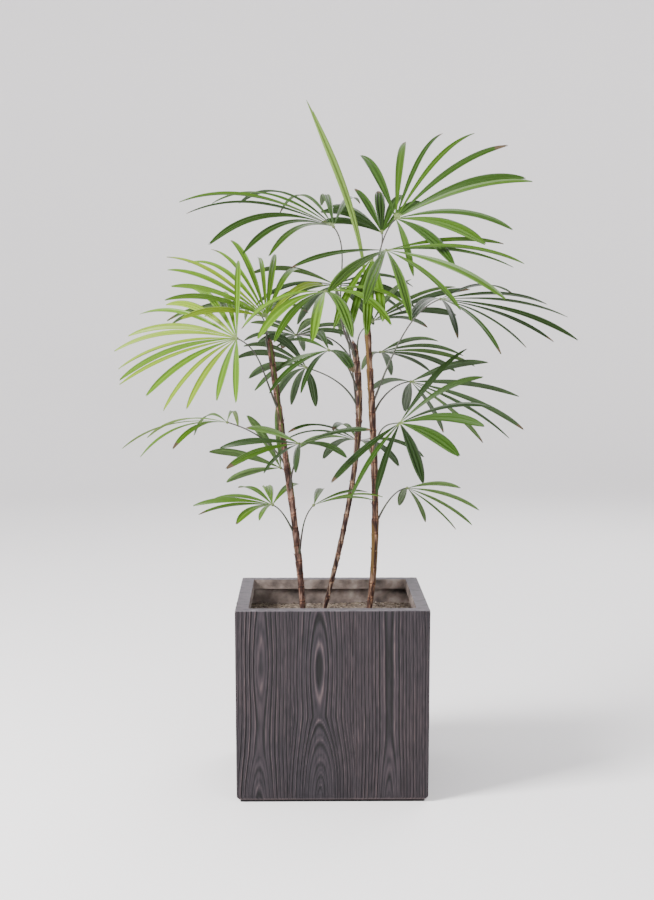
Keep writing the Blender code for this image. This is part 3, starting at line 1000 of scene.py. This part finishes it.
def stalk_curve(frond, cane):
    """Curve of a leaf stalk: off the cane's skin, up beside it, then out into the fan."""
    hub = Vector(frond.hub)
    t = cane_at_height(cane, frond.height)
    root = cubic(cane_curve(cane), t)
    outward = Vector((hub.x - root.x, hub.y - root.y, 0.0)).normalized()
    start = root + outward * (cane_radius(cane, t) * STALK_ROOT_SHARE)
    span = (hub - start).length
    middle = fan_direction(frond, (frond.first + frond.last) / 2)
    arrive = (middle + (hub - start).normalized()).normalized()
    climb = (cubic_direction(cane_curve(cane), t) + outward * STALK_SPREAD).normalized()
    return start, start + climb * span * STALK_CLIMB_SHARE, hub - arrive * span * STALK_ARRIVAL_SHARE, hub


stalk_curves = {frond.name: stalk_curve(frond, cane_of[frond.cane]) for frond in FRONDS}
print("stalk curves:", len(stalk_curves))

# %% [markdown]
# ### Leaflet lines
# A leaflet starts along its spoke of the fan, tipped up by the fan's cup, and bends down more and more
# towards its tip. A leaflet that had no room in the solids was bent up or down, or left out. Its tip in
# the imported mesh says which.

# %% Leaflets of a fan
LEAFLET_WIDTH = 0.0145
TURN_JITTER = 0.22
LENGTH_RANGE = (0.92, 1.05)
WIDTH_RANGE = (0.72, 1.22)
DROOP_RANGE = (0.75, 1.25)
MOST_TWIST = 25
EDGE_LOSS = 0.12


class Leaflet(NamedTuple):
    """What one leaflet of a fan is given: its direction in the fan, size, bend and twist."""
    turn: float
    length: float
    width: float
    droop: float
    twist: float


def fan_leaflets(frond):
    """The leaflets of a fan, evenly spread and then each a little off the rule."""
    dice = random.Random(frond.name)
    step = (frond.last - frond.first) / (frond.count - 1)
    leaflets = []
    for k in range(frond.count):
        place = 2 * k / (frond.count - 1) - 1
        turn = frond.first + step * (k + dice.uniform(-TURN_JITTER, TURN_JITTER))
        length = frond.length * (1 - EDGE_LOSS * place * place) * dice.uniform(*LENGTH_RANGE)
        width = LEAFLET_WIDTH * dice.uniform(*WIDTH_RANGE)
        droop = frond.droop * dice.uniform(*DROOP_RANGE)
        twist = dice.uniform(-MOST_TWIST, MOST_TWIST)
        leaflets.append(Leaflet(turn, length, width, droop, twist))
    return leaflets


print("leaflets of the rule:", sum(len(fan_leaflets(frond)) for frond in FRONDS))

# %% Leaflet lines
LINE_STEPS = 24
ROOT_START = 0.0015
CUP = 0.25
SAG_POWER = 1.5
LIFTS = (0.0, 0.14, -0.14, 0.28, -0.28, 0.42)
TIP_FOUND_WITHIN = 0.0012


def leaflet_line(frond, leaflet, lift):
    """Points of a leaflet's rib from its hub, with the direction along and across it at each."""
    down, across, face = fan_frame(frond)
    turn = math.radians(leaflet.turn)
    first = (fan_direction(frond, leaflet.turn) + face * (CUP + lift)).normalized()
    wide = across * math.cos(turn) - down * math.sin(turn)
    point = Vector(frond.hub) + first * ROOT_START
    step = (leaflet.length - ROOT_START) / LINE_STEPS
    line = []
    for i in range(LINE_STEPS + 1):
        t = i / LINE_STEPS
        along = (first - Vector((0.0, 0.0, leaflet.droop * t ** SAG_POWER))).normalized()
        wide = (wide - along * wide.dot(along)).normalized()
        roll = math.radians(leaflet.twist) * t
        line.append((point.copy(), along, wide * math.cos(roll) + along.cross(wide) * math.sin(roll)))
        point += along * step
    return line


def placed_lines(frond):
    """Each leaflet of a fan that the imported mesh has, with its line."""
    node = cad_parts[frond.name]
    points = np.array([node.matrix_world @ vertex.co for vertex in node.data.vertices])
    found = []
    for leaflet in fan_leaflets(frond):
        for lift in LIFTS:
            line = leaflet_line(frond, leaflet, lift)
            if np.min(np.linalg.norm(points - np.array(line[-1][0]), axis=1)) < TIP_FOUND_WITHIN:
                found.append((leaflet, line))
                break
    return found


lines_of = {frond.name: placed_lines(frond) for frond in FRONDS}
print("leaflets found:", sum(len(found) for found in lines_of.values()))

# %% [markdown]
# ### Leaf finishes
# Leaves differ more from each other than within themselves. The upper-side tints run from a light yellow
# green to a near-black green: the lighter ones go mostly to the fans on the left, nearest the key lamp, and
# the darker ones to fans at the back and low in the crown, so they are partly the leaves' own tone and
# partly painted light and shade. Undersides are paler, leaflet roots are a pale green, and about a quarter
# of the tips are dry. Each of these is a plain colour that is dealt out by leaflet. A bump of fine lines
# along the leaflet's own UV map gives the veins.

# %% Leaf finishes
# The tints from leaf_lime down to leaf_dark are partly painted light and shade: the lighter ones stand for
# fans in the light, the darker ones for fans in shade.
LEAF_COLOURS_WITH_PAINTED_LIGHT = {
    "leaf_lime": (0.150, 0.235, 0.012),
    "leaf_fresh": (0.085, 0.175, 0.010),
    "leaf_spring": (0.058, 0.126, 0.007),
    "leaf_mid": (0.038, 0.086, 0.006),
    "leaf_green": (0.024, 0.058, 0.006),
    "leaf_deep": (0.015, 0.036, 0.005),
    "leaf_dark": (0.010, 0.024, 0.004),
    "under_fresh": (0.100, 0.165, 0.030),
    "under_mid": (0.055, 0.100, 0.025),
    "under_deep": (0.030, 0.056, 0.018),
    "leaf_root": (0.130, 0.180, 0.060),
    "leaf_dry": (0.080, 0.058, 0.034),
}
LEAF_NAMES = list(LEAF_COLOURS_WITH_PAINTED_LIGHT)
SATIN = 0.40
DULL = 0.55
DRY = 0.8
LEAF_SHINE = 0.20
VEIN_STRETCH = (1900.0, 26.0, 1.0)


def leaf_roughness(name):
    """Upper sides are satin, undersides duller and dry tips matt."""
    if name == "leaf_dry":
        return DRY
    return SATIN if name.startswith("leaf") else DULL


def leaf_finish(name, colour):
    """Leaf with fine veins along it."""
    material, tree, shader = new_material(name, colour, leaf_roughness(name))
    shader.inputs["Specular IOR Level"].default_value = LEAF_SHINE
    place = tree.nodes.new("ShaderNodeTexCoord")
    mapping = tree.nodes.new("ShaderNodeMapping")
    mapping.inputs["Scale"].default_value = VEIN_STRETCH
    veins = tree.nodes.new("ShaderNodeTexNoise")
    veins.inputs["Scale"].default_value = 1.0
    veins.inputs["Detail"].default_value = 2.0
    tree.links.new(place.outputs["UV"], mapping.inputs["Vector"])
    tree.links.new(mapping.outputs["Vector"], veins.inputs["Vector"])
    add_bump(tree, shader, veins.outputs["Fac"], 0.35, 0.0003)
    return material


leaf_finishes = [leaf_finish(name, colour) for name, colour in LEAF_COLOURS_WITH_PAINTED_LIGHT.items()]
print("leaf finishes:", len(leaf_finishes))

# %% [markdown]
# ### Leaflet blades
# A leaflet is a thin blade, pleated along two or three ribs, widest past its middle and ending in a few
# blunt teeth. One grid of points serves all of them: its rows follow the leaflet's line and its columns
# cross the pleats. The grid is doubled by the blade's thickness, which closes it.

# %% Faces of a blade
BLADE_ROWS = 30
BLADE_COLUMNS = 13
SIDE_POINTS = BLADE_ROWS * BLADE_COLUMNS


def blade_faces():
    """Faces of one closed blade, as upper, lower and edge quads."""
    top = grid_faces(BLADE_ROWS, BLADE_COLUMNS, closed=False)[:, [0, 3, 2, 1]]
    low = top[:, ::-1] + SIDE_POINTS
    i = np.arange(BLADE_ROWS - 1) * BLADE_COLUMNS
    left = np.stack([i + SIDE_POINTS, i + BLADE_COLUMNS + SIDE_POINTS, i + BLADE_COLUMNS, i], axis=1)
    right = (left + BLADE_COLUMNS - 1)[:, ::-1]
    j = np.arange(BLADE_COLUMNS - 1)
    root = np.stack([j, j + 1, j + 1 + SIDE_POINTS, j + SIDE_POINTS], axis=1)
    tip = root[:, ::-1] + (BLADE_ROWS - 1) * BLADE_COLUMNS
    return top, low, np.concatenate([left, right, root, tip])


BLADE_TOP, BLADE_LOW, BLADE_EDGE = blade_faces()
BLADE_FACES = np.concatenate([BLADE_TOP, BLADE_LOW, BLADE_EDGE])
print("faces a blade:", len(BLADE_FACES))

# %% Points of a blade
BLADE_THICKNESS = 0.00032
ROOT_SHARE = 0.10
TIP_SHARE = 0.20
WIDEST = 0.60
OPENING_POWER = 1.3
CLOSING_POWER = 2.8
TIP_BLUNTNESS = 0.75
ROW_CROWDING = 0.92
FOLD = 0.20
PLEAT = 0.14
PLEAT_ONSET = 6
WAVE = 0.05
WAVE_PACE = 9
TOOTH = 0.030
TOOTH_POWER = 6
EDGE_TOOTH_LOSS = 0.4
THREE_RIBS_FROM = 0.0155
SLIM_FANS = {
    "frond_left_1": 0.80,
    "frond_left_2": 0.76,
    "frond_left_6": 0.78,
    "frond_left_8": 0.82,
    "frond_middle_5": 0.88,
    "frond_right_5": 0.85,
    "frond_right_9": 0.80,
}


def width_share(t):
    """Width along a leaflet: narrow at the root, widest past the middle, closing to a blunt tip."""
    opening = np.sin(np.pi / 2 * np.clip(t / WIDEST, 0, 1)) ** OPENING_POWER
    opening = ROOT_SHARE + (1 - ROOT_SHARE) * opening
    closing = np.clip((t - WIDEST) / (1 - WIDEST), 0, 1)
    closing = np.maximum(TIP_SHARE, (1 - closing ** CLOSING_POWER) ** TIP_BLUNTNESS)
    return np.where(t < WIDEST, opening, closing)


def along_line(line, share):
    """Points of a line, and its directions along and across, at shares of its length."""
    stations = np.linspace(0, 1, len(line))
    found = []
    for values in zip(*line):
        values = np.array(values)
        found.append(np.stack([np.interp(share, stations, values[:, k]) for k in range(3)], axis=-1))
    return found


def blade_points(line, leaflet, slim, dice):
    """Points of one blade, upper side first, and their UV places."""
    row = np.linspace(0, 1, BLADE_ROWS)[:, None] ** ROW_CROWDING
    u = np.linspace(-1, 1, BLADE_COLUMNS)[None, :]
    teeth = 1 - TOOTH * dice.random(BLADE_COLUMNS)[None, :] * (1 - EDGE_TOOTH_LOSS * np.abs(u))
    share = row * (1 + (teeth - 1) * row ** TOOTH_POWER)
    centre, ahead, side = along_line(line, share)
    upper = np.cross(ahead, side)
    half = leaflet.width * slim / 2 * width_share(share)
    ribs = 3 if leaflet.width > THREE_RIBS_FROM else 2
    pleat = PLEAT * np.cos(np.pi * ribs * u) * np.minimum(1, PLEAT_ONSET * share)
    wave = WAVE * np.sin(share * WAVE_PACE + dice.uniform(0, 6)) * u
    raised = half * (FOLD * np.abs(u) + pleat + wave)
    top = centre + side * (half * u)[..., None] + upper * raised[..., None]
    low = top - upper * BLADE_THICKNESS
    places = np.stack([half * u, share * leaflet.length], axis=-1).reshape(-1, 2)
    return np.concatenate([top.reshape(-1, 3), low.reshape(-1, 3)]), np.concatenate([places, places])


print("points a blade:", 2 * SIDE_POINTS)

# %% [markdown]
# ### Leaves
# Each fan has a few tints, and each of its leaflets gets one of them. The leaves of one cane are one
# mesh, because a fan or a leaflet needs no name of its own once its faces have their finishes.

# %% Tints of a blade
# Tints by fan: partly the leaves' own tone, partly painted light on fans near the key lamp and painted
# shade on fans deep in the crown.
TINTS_WITH_PAINTED_LIGHT = {
    "frond_left_1": "fresh lime spring fresh",
    "frond_left_2": "fresh lime fresh spring",
    "frond_left_3": "mid spring",
    "frond_left_4": "green mid",
    "frond_left_5": "mid green deep",
    "frond_left_6": "spring mid",
    "frond_left_7": "spring mid",
    "frond_left_8": "spring mid",
    "frond_middle_1": "deep green",
    "frond_middle_2": "deep dark",
    "frond_middle_4": "spring mid fresh",
    "frond_middle_5": "green mid deep",
    "frond_right_1": "mid green green",
    "frond_right_2": "mid green",
    "frond_right_3": "green deep",
    "frond_right_4": "spring mid",
    "frond_right_9": "green mid",
}
# Fans not listed get dark tints, a painted shade for fans at the back, low in the crown and far to the
# right.
PAINTED_SHADE_TINTS = "deep green dark"
UNDER_OF = {
    "lime": "under_fresh",
    "fresh": "under_fresh",
    "spring": "under_fresh",
    "mid": "under_mid",
    "green": "under_mid",
    "deep": "under_deep",
    "dark": "under_deep",
}
DRY_TIPS = 0.28
DRY_ROWS = (1, 4)
ROOT_ROWS = 1


def blade_finishes(tint, dice):
    """Finish of each face of a blade: tint, underside, pale root and perhaps a dry tip."""
    row_of_face = np.repeat(np.arange(BLADE_ROWS - 1), BLADE_COLUMNS - 1)
    upper = LEAF_NAMES.index("leaf_" + tint)
    top = np.full(len(BLADE_TOP), upper)
    low = np.full(len(BLADE_LOW), LEAF_NAMES.index(UNDER_OF[tint]))
    top[row_of_face < ROOT_ROWS] = LEAF_NAMES.index("leaf_root")
    low[row_of_face < ROOT_ROWS] = LEAF_NAMES.index("leaf_root")
    if dice.random() < DRY_TIPS:
        dry_from = BLADE_ROWS - 1 - dice.integers(*DRY_ROWS)
        top[row_of_face >= dry_from] = LEAF_NAMES.index("leaf_dry")
        low[row_of_face >= dry_from] = LEAF_NAMES.index("leaf_dry")
    return np.concatenate([top, low, np.full(len(BLADE_EDGE), upper)])


print("fans with their own tints:", len(TINTS_WITH_PAINTED_LIGHT))

# %% Leaves in place
LEAF_SHARP = 60


def blades_mesh(name, blades, sharp=None):
    """One mesh of many blades, each given as its points, its UV places and its finishes."""
    points, places, finishes = (np.concatenate(values) for values in zip(*blades))
    quads = np.concatenate([BLADE_FACES + 2 * SIDE_POINTS * k for k in range(len(blades))])
    mesh = smooth_mesh(name, points.tolist(), quads.tolist(), leaf_finishes, finishes, sharp)
    layer = mesh.uv_layers.new(name="blade")
    layer.data.foreach_set("uv", places[quads.ravel()].astype(np.float32).ravel())
    return mesh


def fan_blades(frond):
    """The finished blades of one fan."""
    dice = np.random.default_rng(sum(ord(letter) * (k + 1) for k, letter in enumerate(frond.name)))
    tints = TINTS_WITH_PAINTED_LIGHT.get(frond.name, PAINTED_SHADE_TINTS).split()
    blades = []
    for leaflet, line in lines_of[frond.name]:
        points, places = blade_points(line, leaflet, SLIM_FANS.get(frond.name, 1.0), dice)
        blades.append((points, places, blade_finishes(tints[dice.integers(len(tints))], dice)))
    return blades


def leaf_piece(name, fronds):
    """All blades of some fans as one piece."""
    blades = [blade for frond in fronds for blade in fan_blades(frond)]
    piece = link_object(name, blades_mesh(name, blades, LEAF_SHARP))
    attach(piece, "root")
    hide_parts(*(frond.name for frond in fronds))
    return piece


for side in FANS:
    own = [frond for frond in FRONDS if frond.cane == "cane_" + side]
    leaves = leaf_piece("leaflets_" + side, own)
    print(leaves.name, "faces:", len(leaves.data.polygons))

# %% [markdown]
# ## Leaf stalks
# The stalks are thin round wires, dark green with a purple cast, a little thicker where they clasp the
# cane. Each ends in a small pale boss that the leaflets spring from. A tube along each curve is enough,
# and all of them are one mesh.

# %% Leaf stalks
STALK_SIDES = 8
STALK_ROWS = 20
STALK_FOOT = 0.0021
STALK_END = 0.0011
STALK_SHARP = 60
BOSS_STEPS = 6
BOSS_LENGTH = 0.006
BOSS_RADIUS = 0.0022
BOSS_BEFORE = 0.6
BOSS_END = 0.0003
STALK_STOPS = ((0.35, (0.018, 0.030, 0.009)), (0.65, (0.026, 0.018, 0.015)))


def add_tube(points, faces, centres, directions, radii):
    """Adds a closed round tube to lists of points and faces."""
    start = len(points)
    rows = len(centres)
    first = Vector((0.0, -1.0, 0.0))
    for centre, direction, radius in zip(centres, directions, radii):
        first = (first - direction * first.dot(direction)).normalized()
        second = direction.cross(first)
        for k in range(STALK_SIDES):
            turn = 2 * math.pi * k / STALK_SIDES
            points.append(centre + (first * math.cos(turn) + second * math.sin(turn)) * radius)
    faces += (grid_faces(rows, STALK_SIDES, closed=True) + start).tolist()
    faces.append([start + k for k in reversed(range(STALK_SIDES))])
    faces.append([start + (rows - 1) * STALK_SIDES + k for k in range(STALK_SIDES)])


def make_stalks():
    """All stalks and their bosses as one mesh."""
    points = []
    faces = []
    finish_of_face = []
    for curve in stalk_curves.values():
        shares = [k / (STALK_ROWS - 1) for k in range(STALK_ROWS)]
        centres = [cubic(curve, t) for t in shares]
        directions = [cubic_direction(curve, t) for t in shares]
        radii = [STALK_END + (STALK_FOOT - STALK_END) * (1 - t) ** 3 for t in shares]
        add_tube(points, faces, centres, directions, radii)
        finish_of_face += [0] * (len(faces) - len(finish_of_face))
        hub = centres[-1]
        outward = directions[-1]
        shares = [k / BOSS_STEPS for k in range(BOSS_STEPS + 1)]
        centres = [hub + outward * BOSS_LENGTH * (t - BOSS_BEFORE) for t in shares]
        radii = [BOSS_END + BOSS_RADIUS * math.sin(math.pi * t) ** 0.7 for t in shares]
        add_tube(points, faces, centres, [outward] * len(shares), radii)
        finish_of_face += [1] * (len(faces) - len(finish_of_face))
    skin, _, _ = blotted_material("stalk_skin", (0.022, 0.026, 0.011), 0.45, (30.0, 3.0), STALK_STOPS)
    boss, _, _ = new_material("stalk_boss", (0.090, 0.120, 0.035), 0.5)
    places = [tuple(point) for point in points]
    return smooth_mesh("leaf_stalks", places, faces, [skin, boss], finish_of_face, STALK_SHARP)


stalks = link_object("leaf_stalks", make_stalks())
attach(stalks, "root")
print("stalk faces:", len(stalks.data.polygons))

# %% [markdown]
# ## Canes
# A lady palm's cane is wrapped in the sheaths of old leaves: red-brown fibre that ends in a ragged ring
# every few centimetres, each ring a little prouder than the cane above it. The mesh follows the solid
# cane's curve and radius, and the rings, the fibre and the collars under each leaf stalk are moves of its
# points.

# %% Cane relief
CANE_SIDES = 64
CANE_ROWS = 460
CANE_INSET = 0.0002
UPRIGHT_FOOT = 0.02
RING_STEP = (0.016, 0.030)
RING_SWELL = 0.00060
LEAST_SWELL = 0.7
SWELL_SWING = 0.6
RING_RAGS = ((0.0016, 3, 4), (0.0008, 9, 9))
FIBRES = ((0.00016, 11, 60), (0.00012, 5, 160))
COLLAR_LENGTH = 0.040
COLLAR_SWELL = 0.0009
COLLAR_TOP = 0.004
SCAR_WIDTH = 0.16


def ring_heights(cane, dice):
    """Heights above the soil of a cane's rings."""
    heights = [0.0]
    while heights[-1] < cane.tip[2] - cane.foot[2] + 0.05:
        heights.append(heights[-1] + dice.uniform(*RING_STEP))
    return np.array(heights)


def collar_swell(collars, height):
    """How far a cane stands out at a height, under the stalks that leave it."""
    swell = 0.0
    for collar in collars:
        below = collar - height
        if -COLLAR_TOP < below < COLLAR_LENGTH:
            rise = min(1.0, (below + COLLAR_TOP) / COLLAR_TOP)
            swell = max(swell, COLLAR_SWELL * rise * (1 - below / COLLAR_LENGTH))
    return swell


def cane_relief(rings, angles, above, seed):
    """Relief round a cane at a height above its foot, with its masks for rings and fresh sheath."""
    heights = np.full(len(angles), above)
    level = above + layered_noise(angles, heights, RING_RAGS, seed + 1)
    index = np.clip(np.searchsorted(rings, level, side="right") - 1, 0, len(rings) - 2)
    phase = (level - rings[index]) / (rings[index + 1] - rings[index])
    unequal = LEAST_SWELL + SWELL_SWING * lattice_noise(index * 2.3, angles, seed + 3)
    swell = RING_SWELL * np.clip(phase, 0, 1) ** 3 * unequal
    fibre = layered_noise(angles, heights, FIBRES, seed + 4)
    scar = np.clip(1 - np.minimum(phase, 1 - phase) / SCAR_WIDTH, 0, 1)
    fresh = np.clip(0.5 + lattice_noise(angles * 0.9, heights * 9, seed + 6), 0, 1)
    return swell, fibre, scar, fresh


print("points round a cane:", CANE_SIDES)

# %% Cane mesh


def cane_faces():
    """Faces of a cane, its flat foot, and its tip, which closes to one last point."""
    faces = grid_faces(CANE_ROWS, CANE_SIDES, closed=True).tolist()
    faces.append(list(reversed(range(CANE_SIDES))))
    last = (CANE_ROWS - 1) * CANE_SIDES
    faces += [[last + k, last + (k + 1) % CANE_SIDES, last + CANE_SIDES] for k in range(CANE_SIDES)]
    return faces


def cane_mesh(cane, finish, seed):
    """Cane with sheath rings, fibre and collars, and its masks as attributes."""
    curve = cane_curve(cane)
    rings = ring_heights(cane, np.random.default_rng(seed))
    angles = np.linspace(0, 2 * np.pi, CANE_SIDES, endpoint=False)
    collars = [frond.height for frond in FRONDS if frond.cane == cane.name]
    points = []
    scars = []
    freshness = []
    first = Vector((0.0, -1.0, 0.0))
    for t in np.linspace(0, 1, CANE_ROWS):
        centre = cubic(curve, t)
        direction = cubic_direction(curve, t) if t > UPRIGHT_FOOT else Vector((0.0, 0.0, 1.0))
        first = (first - direction * first.dot(direction)).normalized()
        second = direction.cross(first)
        swell, fibre, scar, fresh = cane_relief(rings, angles, centre.z - cane.foot[2], seed)
        radius = cane_radius(cane, t) + swell + fibre + collar_swell(collars, centre.z) - CANE_INSET
        for k, angle in enumerate(angles):
            out = first * math.cos(angle) + second * math.sin(angle)
            points.append(tuple(centre + out * float(radius[k])))
        scars.append(scar)
        freshness.append(fresh)
    points.append(tuple(cubic(curve, 1.0) + cubic_direction(curve, 1.0) * cane.tip_radius * 2))
    mesh = smooth_mesh(cane.name + "_bark", points, cane_faces(), [finish])
    for name, values in (("scar", scars), ("fresh", freshness)):
        attribute = mesh.attributes.new(name, "FLOAT", "POINT")
        attribute.data.foreach_set("value", np.append(np.concatenate(values), 0.0).astype(np.float32))
    return mesh


print("points along a cane:", CANE_ROWS)

# %% [markdown]
# ### Sheath bark
# The fibre is streaked lengthwise, so its noise is squeezed across the cane and left long up it. The
# rings' mask darkens the scars, and a second mask lets green through where a sheath is still young.

# %% Sheath bark
RING_TONES = ((0.0, (1.0, 1.0, 1.0)), (0.45, (1.9, 1.7, 1.5)), (1.0, (0.18, 0.15, 0.15)))
FRESH_BLUR = 0.12


class Bark(NamedTuple):
    """Colours of a cane's fibre from its gaps to its ridges, the colour of young sheath, and its share."""
    dark: tuple
    middle: tuple
    light: tuple
    young: tuple
    young_share: float


BARKS = {
    "left": Bark((0.013, 0.006, 0.005), (0.042, 0.018, 0.013), (0.170, 0.100, 0.075),
                 (0.040, 0.055, 0.009), 0.24),
    "middle": Bark((0.012, 0.005, 0.005), (0.042, 0.020, 0.015), (0.250, 0.175, 0.125),
                   (0.060, 0.038, 0.012), 0.06),
    "right": Bark((0.014, 0.006, 0.005), (0.046, 0.020, 0.013), (0.190, 0.115, 0.075),
                  (0.080, 0.045, 0.012), 0.10),
}


def sheath_bark(name, bark):
    """Sheath fibre of a cane: streaked browns, darker rings, and some green where a sheath is young."""
    material, tree, shader = new_material(name, bark.middle, 0.72)
    shader.inputs["Specular IOR Level"].default_value = 0.22
    fibre_stops = ((0.36, bark.dark), (0.50, bark.middle), (0.66, bark.light))
    streaks = colour_ramp(tree, object_noise(tree, 55.0, 6.0, (5, 5, 1)), fibre_stops)
    rings = colour_ramp(tree, mesh_value(tree, "scar"), RING_TONES)
    banded = mix_colours(tree, 1.0, streaks, rings, "MULTIPLY")
    young_from = 1 - bark.young_share
    young_full = min(1.0, 1 + FRESH_BLUR - bark.young_share)
    where = colour_ramp(tree, mesh_value(tree, "fresh"), ((young_from, (0, 0, 0)), (young_full, (1, 1, 1))))
    young = tree.nodes.new("ShaderNodeRGB")
    young.outputs[0].default_value = (*bark.young, 1.0)
    tree.links.new(mix_colours(tree, where, banded, young.outputs[0]), shader.inputs["Base Color"])
    add_bump(tree, shader, object_noise(tree, 120.0, 5.0, (10, 10, 1)), 0.5, 0.0006)
    return material


bark_of = {"cane_" + side: sheath_bark("bark_" + side, bark) for side, bark in BARKS.items()}
print("barks:", len(bark_of))

# %% [markdown]
# ### Torn sheaths
# Old sheaths tear, and their ends stand off the cane as stiff tags. Each is a small closed spike that is
# sunk in the bark at its root. Seeded numbers choose its place, length and lean.

# %% Torn tags
TAG_COUNT = 26
TAG_PLACES = (0.04, 0.97)
TAG_LENGTH = (0.005, 0.011)
TAG_LEAN = (0.25, 0.7)
TAG_WIDTH = 0.0018
TAG_THICKNESS = 0.0004
TAG_SUNK = 0.0006
TAG_FACES = ((0, 1, 2, 3), (1, 0, 4), (2, 1, 4), (3, 2, 4), (0, 3, 4))


def torn_tags(cane, finish, seed):
    """Mesh of the torn ends of old sheaths that stand off a cane."""
    dice = np.random.default_rng(seed)
    curve = cane_curve(cane)
    points = []
    faces = []
    for _ in range(TAG_COUNT):
        t = float(dice.uniform(*TAG_PLACES))
        turn = float(dice.uniform(0, 2 * math.pi))
        length = float(dice.uniform(*TAG_LENGTH))
        out = Vector((math.cos(turn), math.sin(turn), 0.0))
        upward = cubic_direction(curve, t)
        side = upward.cross(out).normalized()
        root = cubic(curve, t) + out * (cane_radius(cane, t) - TAG_SUNK)
        tip = root + upward * length + out * length * float(dice.uniform(*TAG_LEAN))
        left = root - side * TAG_WIDTH
        right = root + side * TAG_WIDTH
        faces += [[len(points) + corner for corner in face] for face in TAG_FACES]
        points += [left, right, right + out * TAG_THICKNESS, left + out * TAG_THICKNESS, tip]
    mesh = bpy.data.meshes.new(cane.name + "_tags")
    mesh.from_pydata([tuple(point) for point in points], [], faces)
    mesh.materials.append(finish)
    return mesh


print("tags a cane:", TAG_COUNT)

# %% Canes in place
BARK_SEED = 300
SEEDS_A_CANE = 20
TAG_SEED = 400

for number, cane in enumerate(CANES):
    tag_mesh = torn_tags(cane, bark_of[cane.name], TAG_SEED + number)
    tags = link_object(cane.name + "_tags", tag_mesh)
    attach(tags, "root")
    bark_mesh = cane_mesh(cane, bark_of[cane.name], BARK_SEED + SEEDS_A_CANE * number)
    bark = link_object(cane.name + "_bark", bark_mesh)
    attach(bark, "root")
    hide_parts(cane.name)
    print(bark.name, "faces:", len(bark_mesh.polygons))

# %% [markdown]
# ## New leaf
# The newest leaf is still folded. It goes on from the tip of the right-hand cane as a slim sheaf of three
# blades that begin to part near the top. It reuses the leaflets' grid, with another width along it.

# %% New leaf
SPEAR_START = 0.002
SPEAR_LENGTH = 0.29
SPEAR_BENDS = ((-0.004, -0.004, 0.080), (-0.040, -0.010, 0.170), (-0.095, -0.012, 0.286))
SPEAR_SLIM = 0.32
SPEAR_CROWN = 0.68
SPEAR_CLOSING = 0.27
SPEAR_SEED = 77


class SpearBlade(NamedTuple):
    """A blade of the new leaf: its width, how far it reaches and parts, its turn and its tint."""
    width: float
    reach: float
    aside: float
    turn: float
    tint: str


SPEAR_BLADES = (
    SpearBlade(0.0120, 1.00, 0.0, 20, "fresh"),
    SpearBlade(0.0090, 0.95, 0.0025, -25, "spring"),
    SpearBlade(0.0070, 0.86, -0.0022, 60, "spring"),
)


def spear_width(t):
    """Width along a folded blade: slim below, widest in its upper third."""
    crown = np.clip(np.sin(np.pi * np.clip(t, 0, 1) ** 1.6), 0, 1)
    return SPEAR_SLIM + SPEAR_CROWN * crown - SPEAR_CLOSING * np.clip(t * 4 - 3, 0, 1)


def spear_curve(cane):
    """Curve of the new leaf from the tip of its cane."""
    start = cubic(cane_curve(cane), 1.0) + cubic_direction(cane_curve(cane), 1.0) * cane.tip_radius * 0.5
    raised = Vector((0, 0, cane.tip_radius * 1.5 + SPEAR_START))
    return start, *(start + Vector(bend) + raised for bend in SPEAR_BENDS)


def spear_line(curve, blade):
    """Line of one blade of the new leaf."""
    line = []
    wide = Vector((1.0, 0.0, 0.0))
    for i in range(LINE_STEPS + 1):
        t = i / LINE_STEPS * blade.reach
        along = cubic_direction(curve, t)
        wide = (wide - along * wide.dot(along)).normalized()
        roll = math.radians(blade.turn) * (0.4 + 0.6 * t)
        across = wide * math.cos(roll) + along.cross(wide) * math.sin(roll)
        line.append((cubic(curve, t) + wide * blade.aside * t * t, along, across))
    return line


def make_spear():
    """The folded new leaf."""
    dice = np.random.default_rng(SPEAR_SEED)
    curve = spear_curve(cane_of["cane_right"])
    blades = []
    for blade in SPEAR_BLADES:
        line = spear_line(curve, blade)
        leaflet = Leaflet(0.0, SPEAR_LENGTH * blade.reach, blade.width, 0.0, 0.0)
        points, places = blade_points(line, leaflet, 1.0, dice)
        share = places[:, 1] / leaflet.length
        centres = along_line(line, share)[0]
        points = centres + (points - centres) * (spear_width(share) / width_share(share))[:, None]
        blades.append((points, places, blade_finishes(blade.tint, dice)))
    return blades_mesh("new_leaf", blades)


new_leaf = link_object("new_leaf", make_spear())
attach(new_leaf, "root")
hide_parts("spear")
print("new leaf faces:", len(new_leaf.data.polygons))
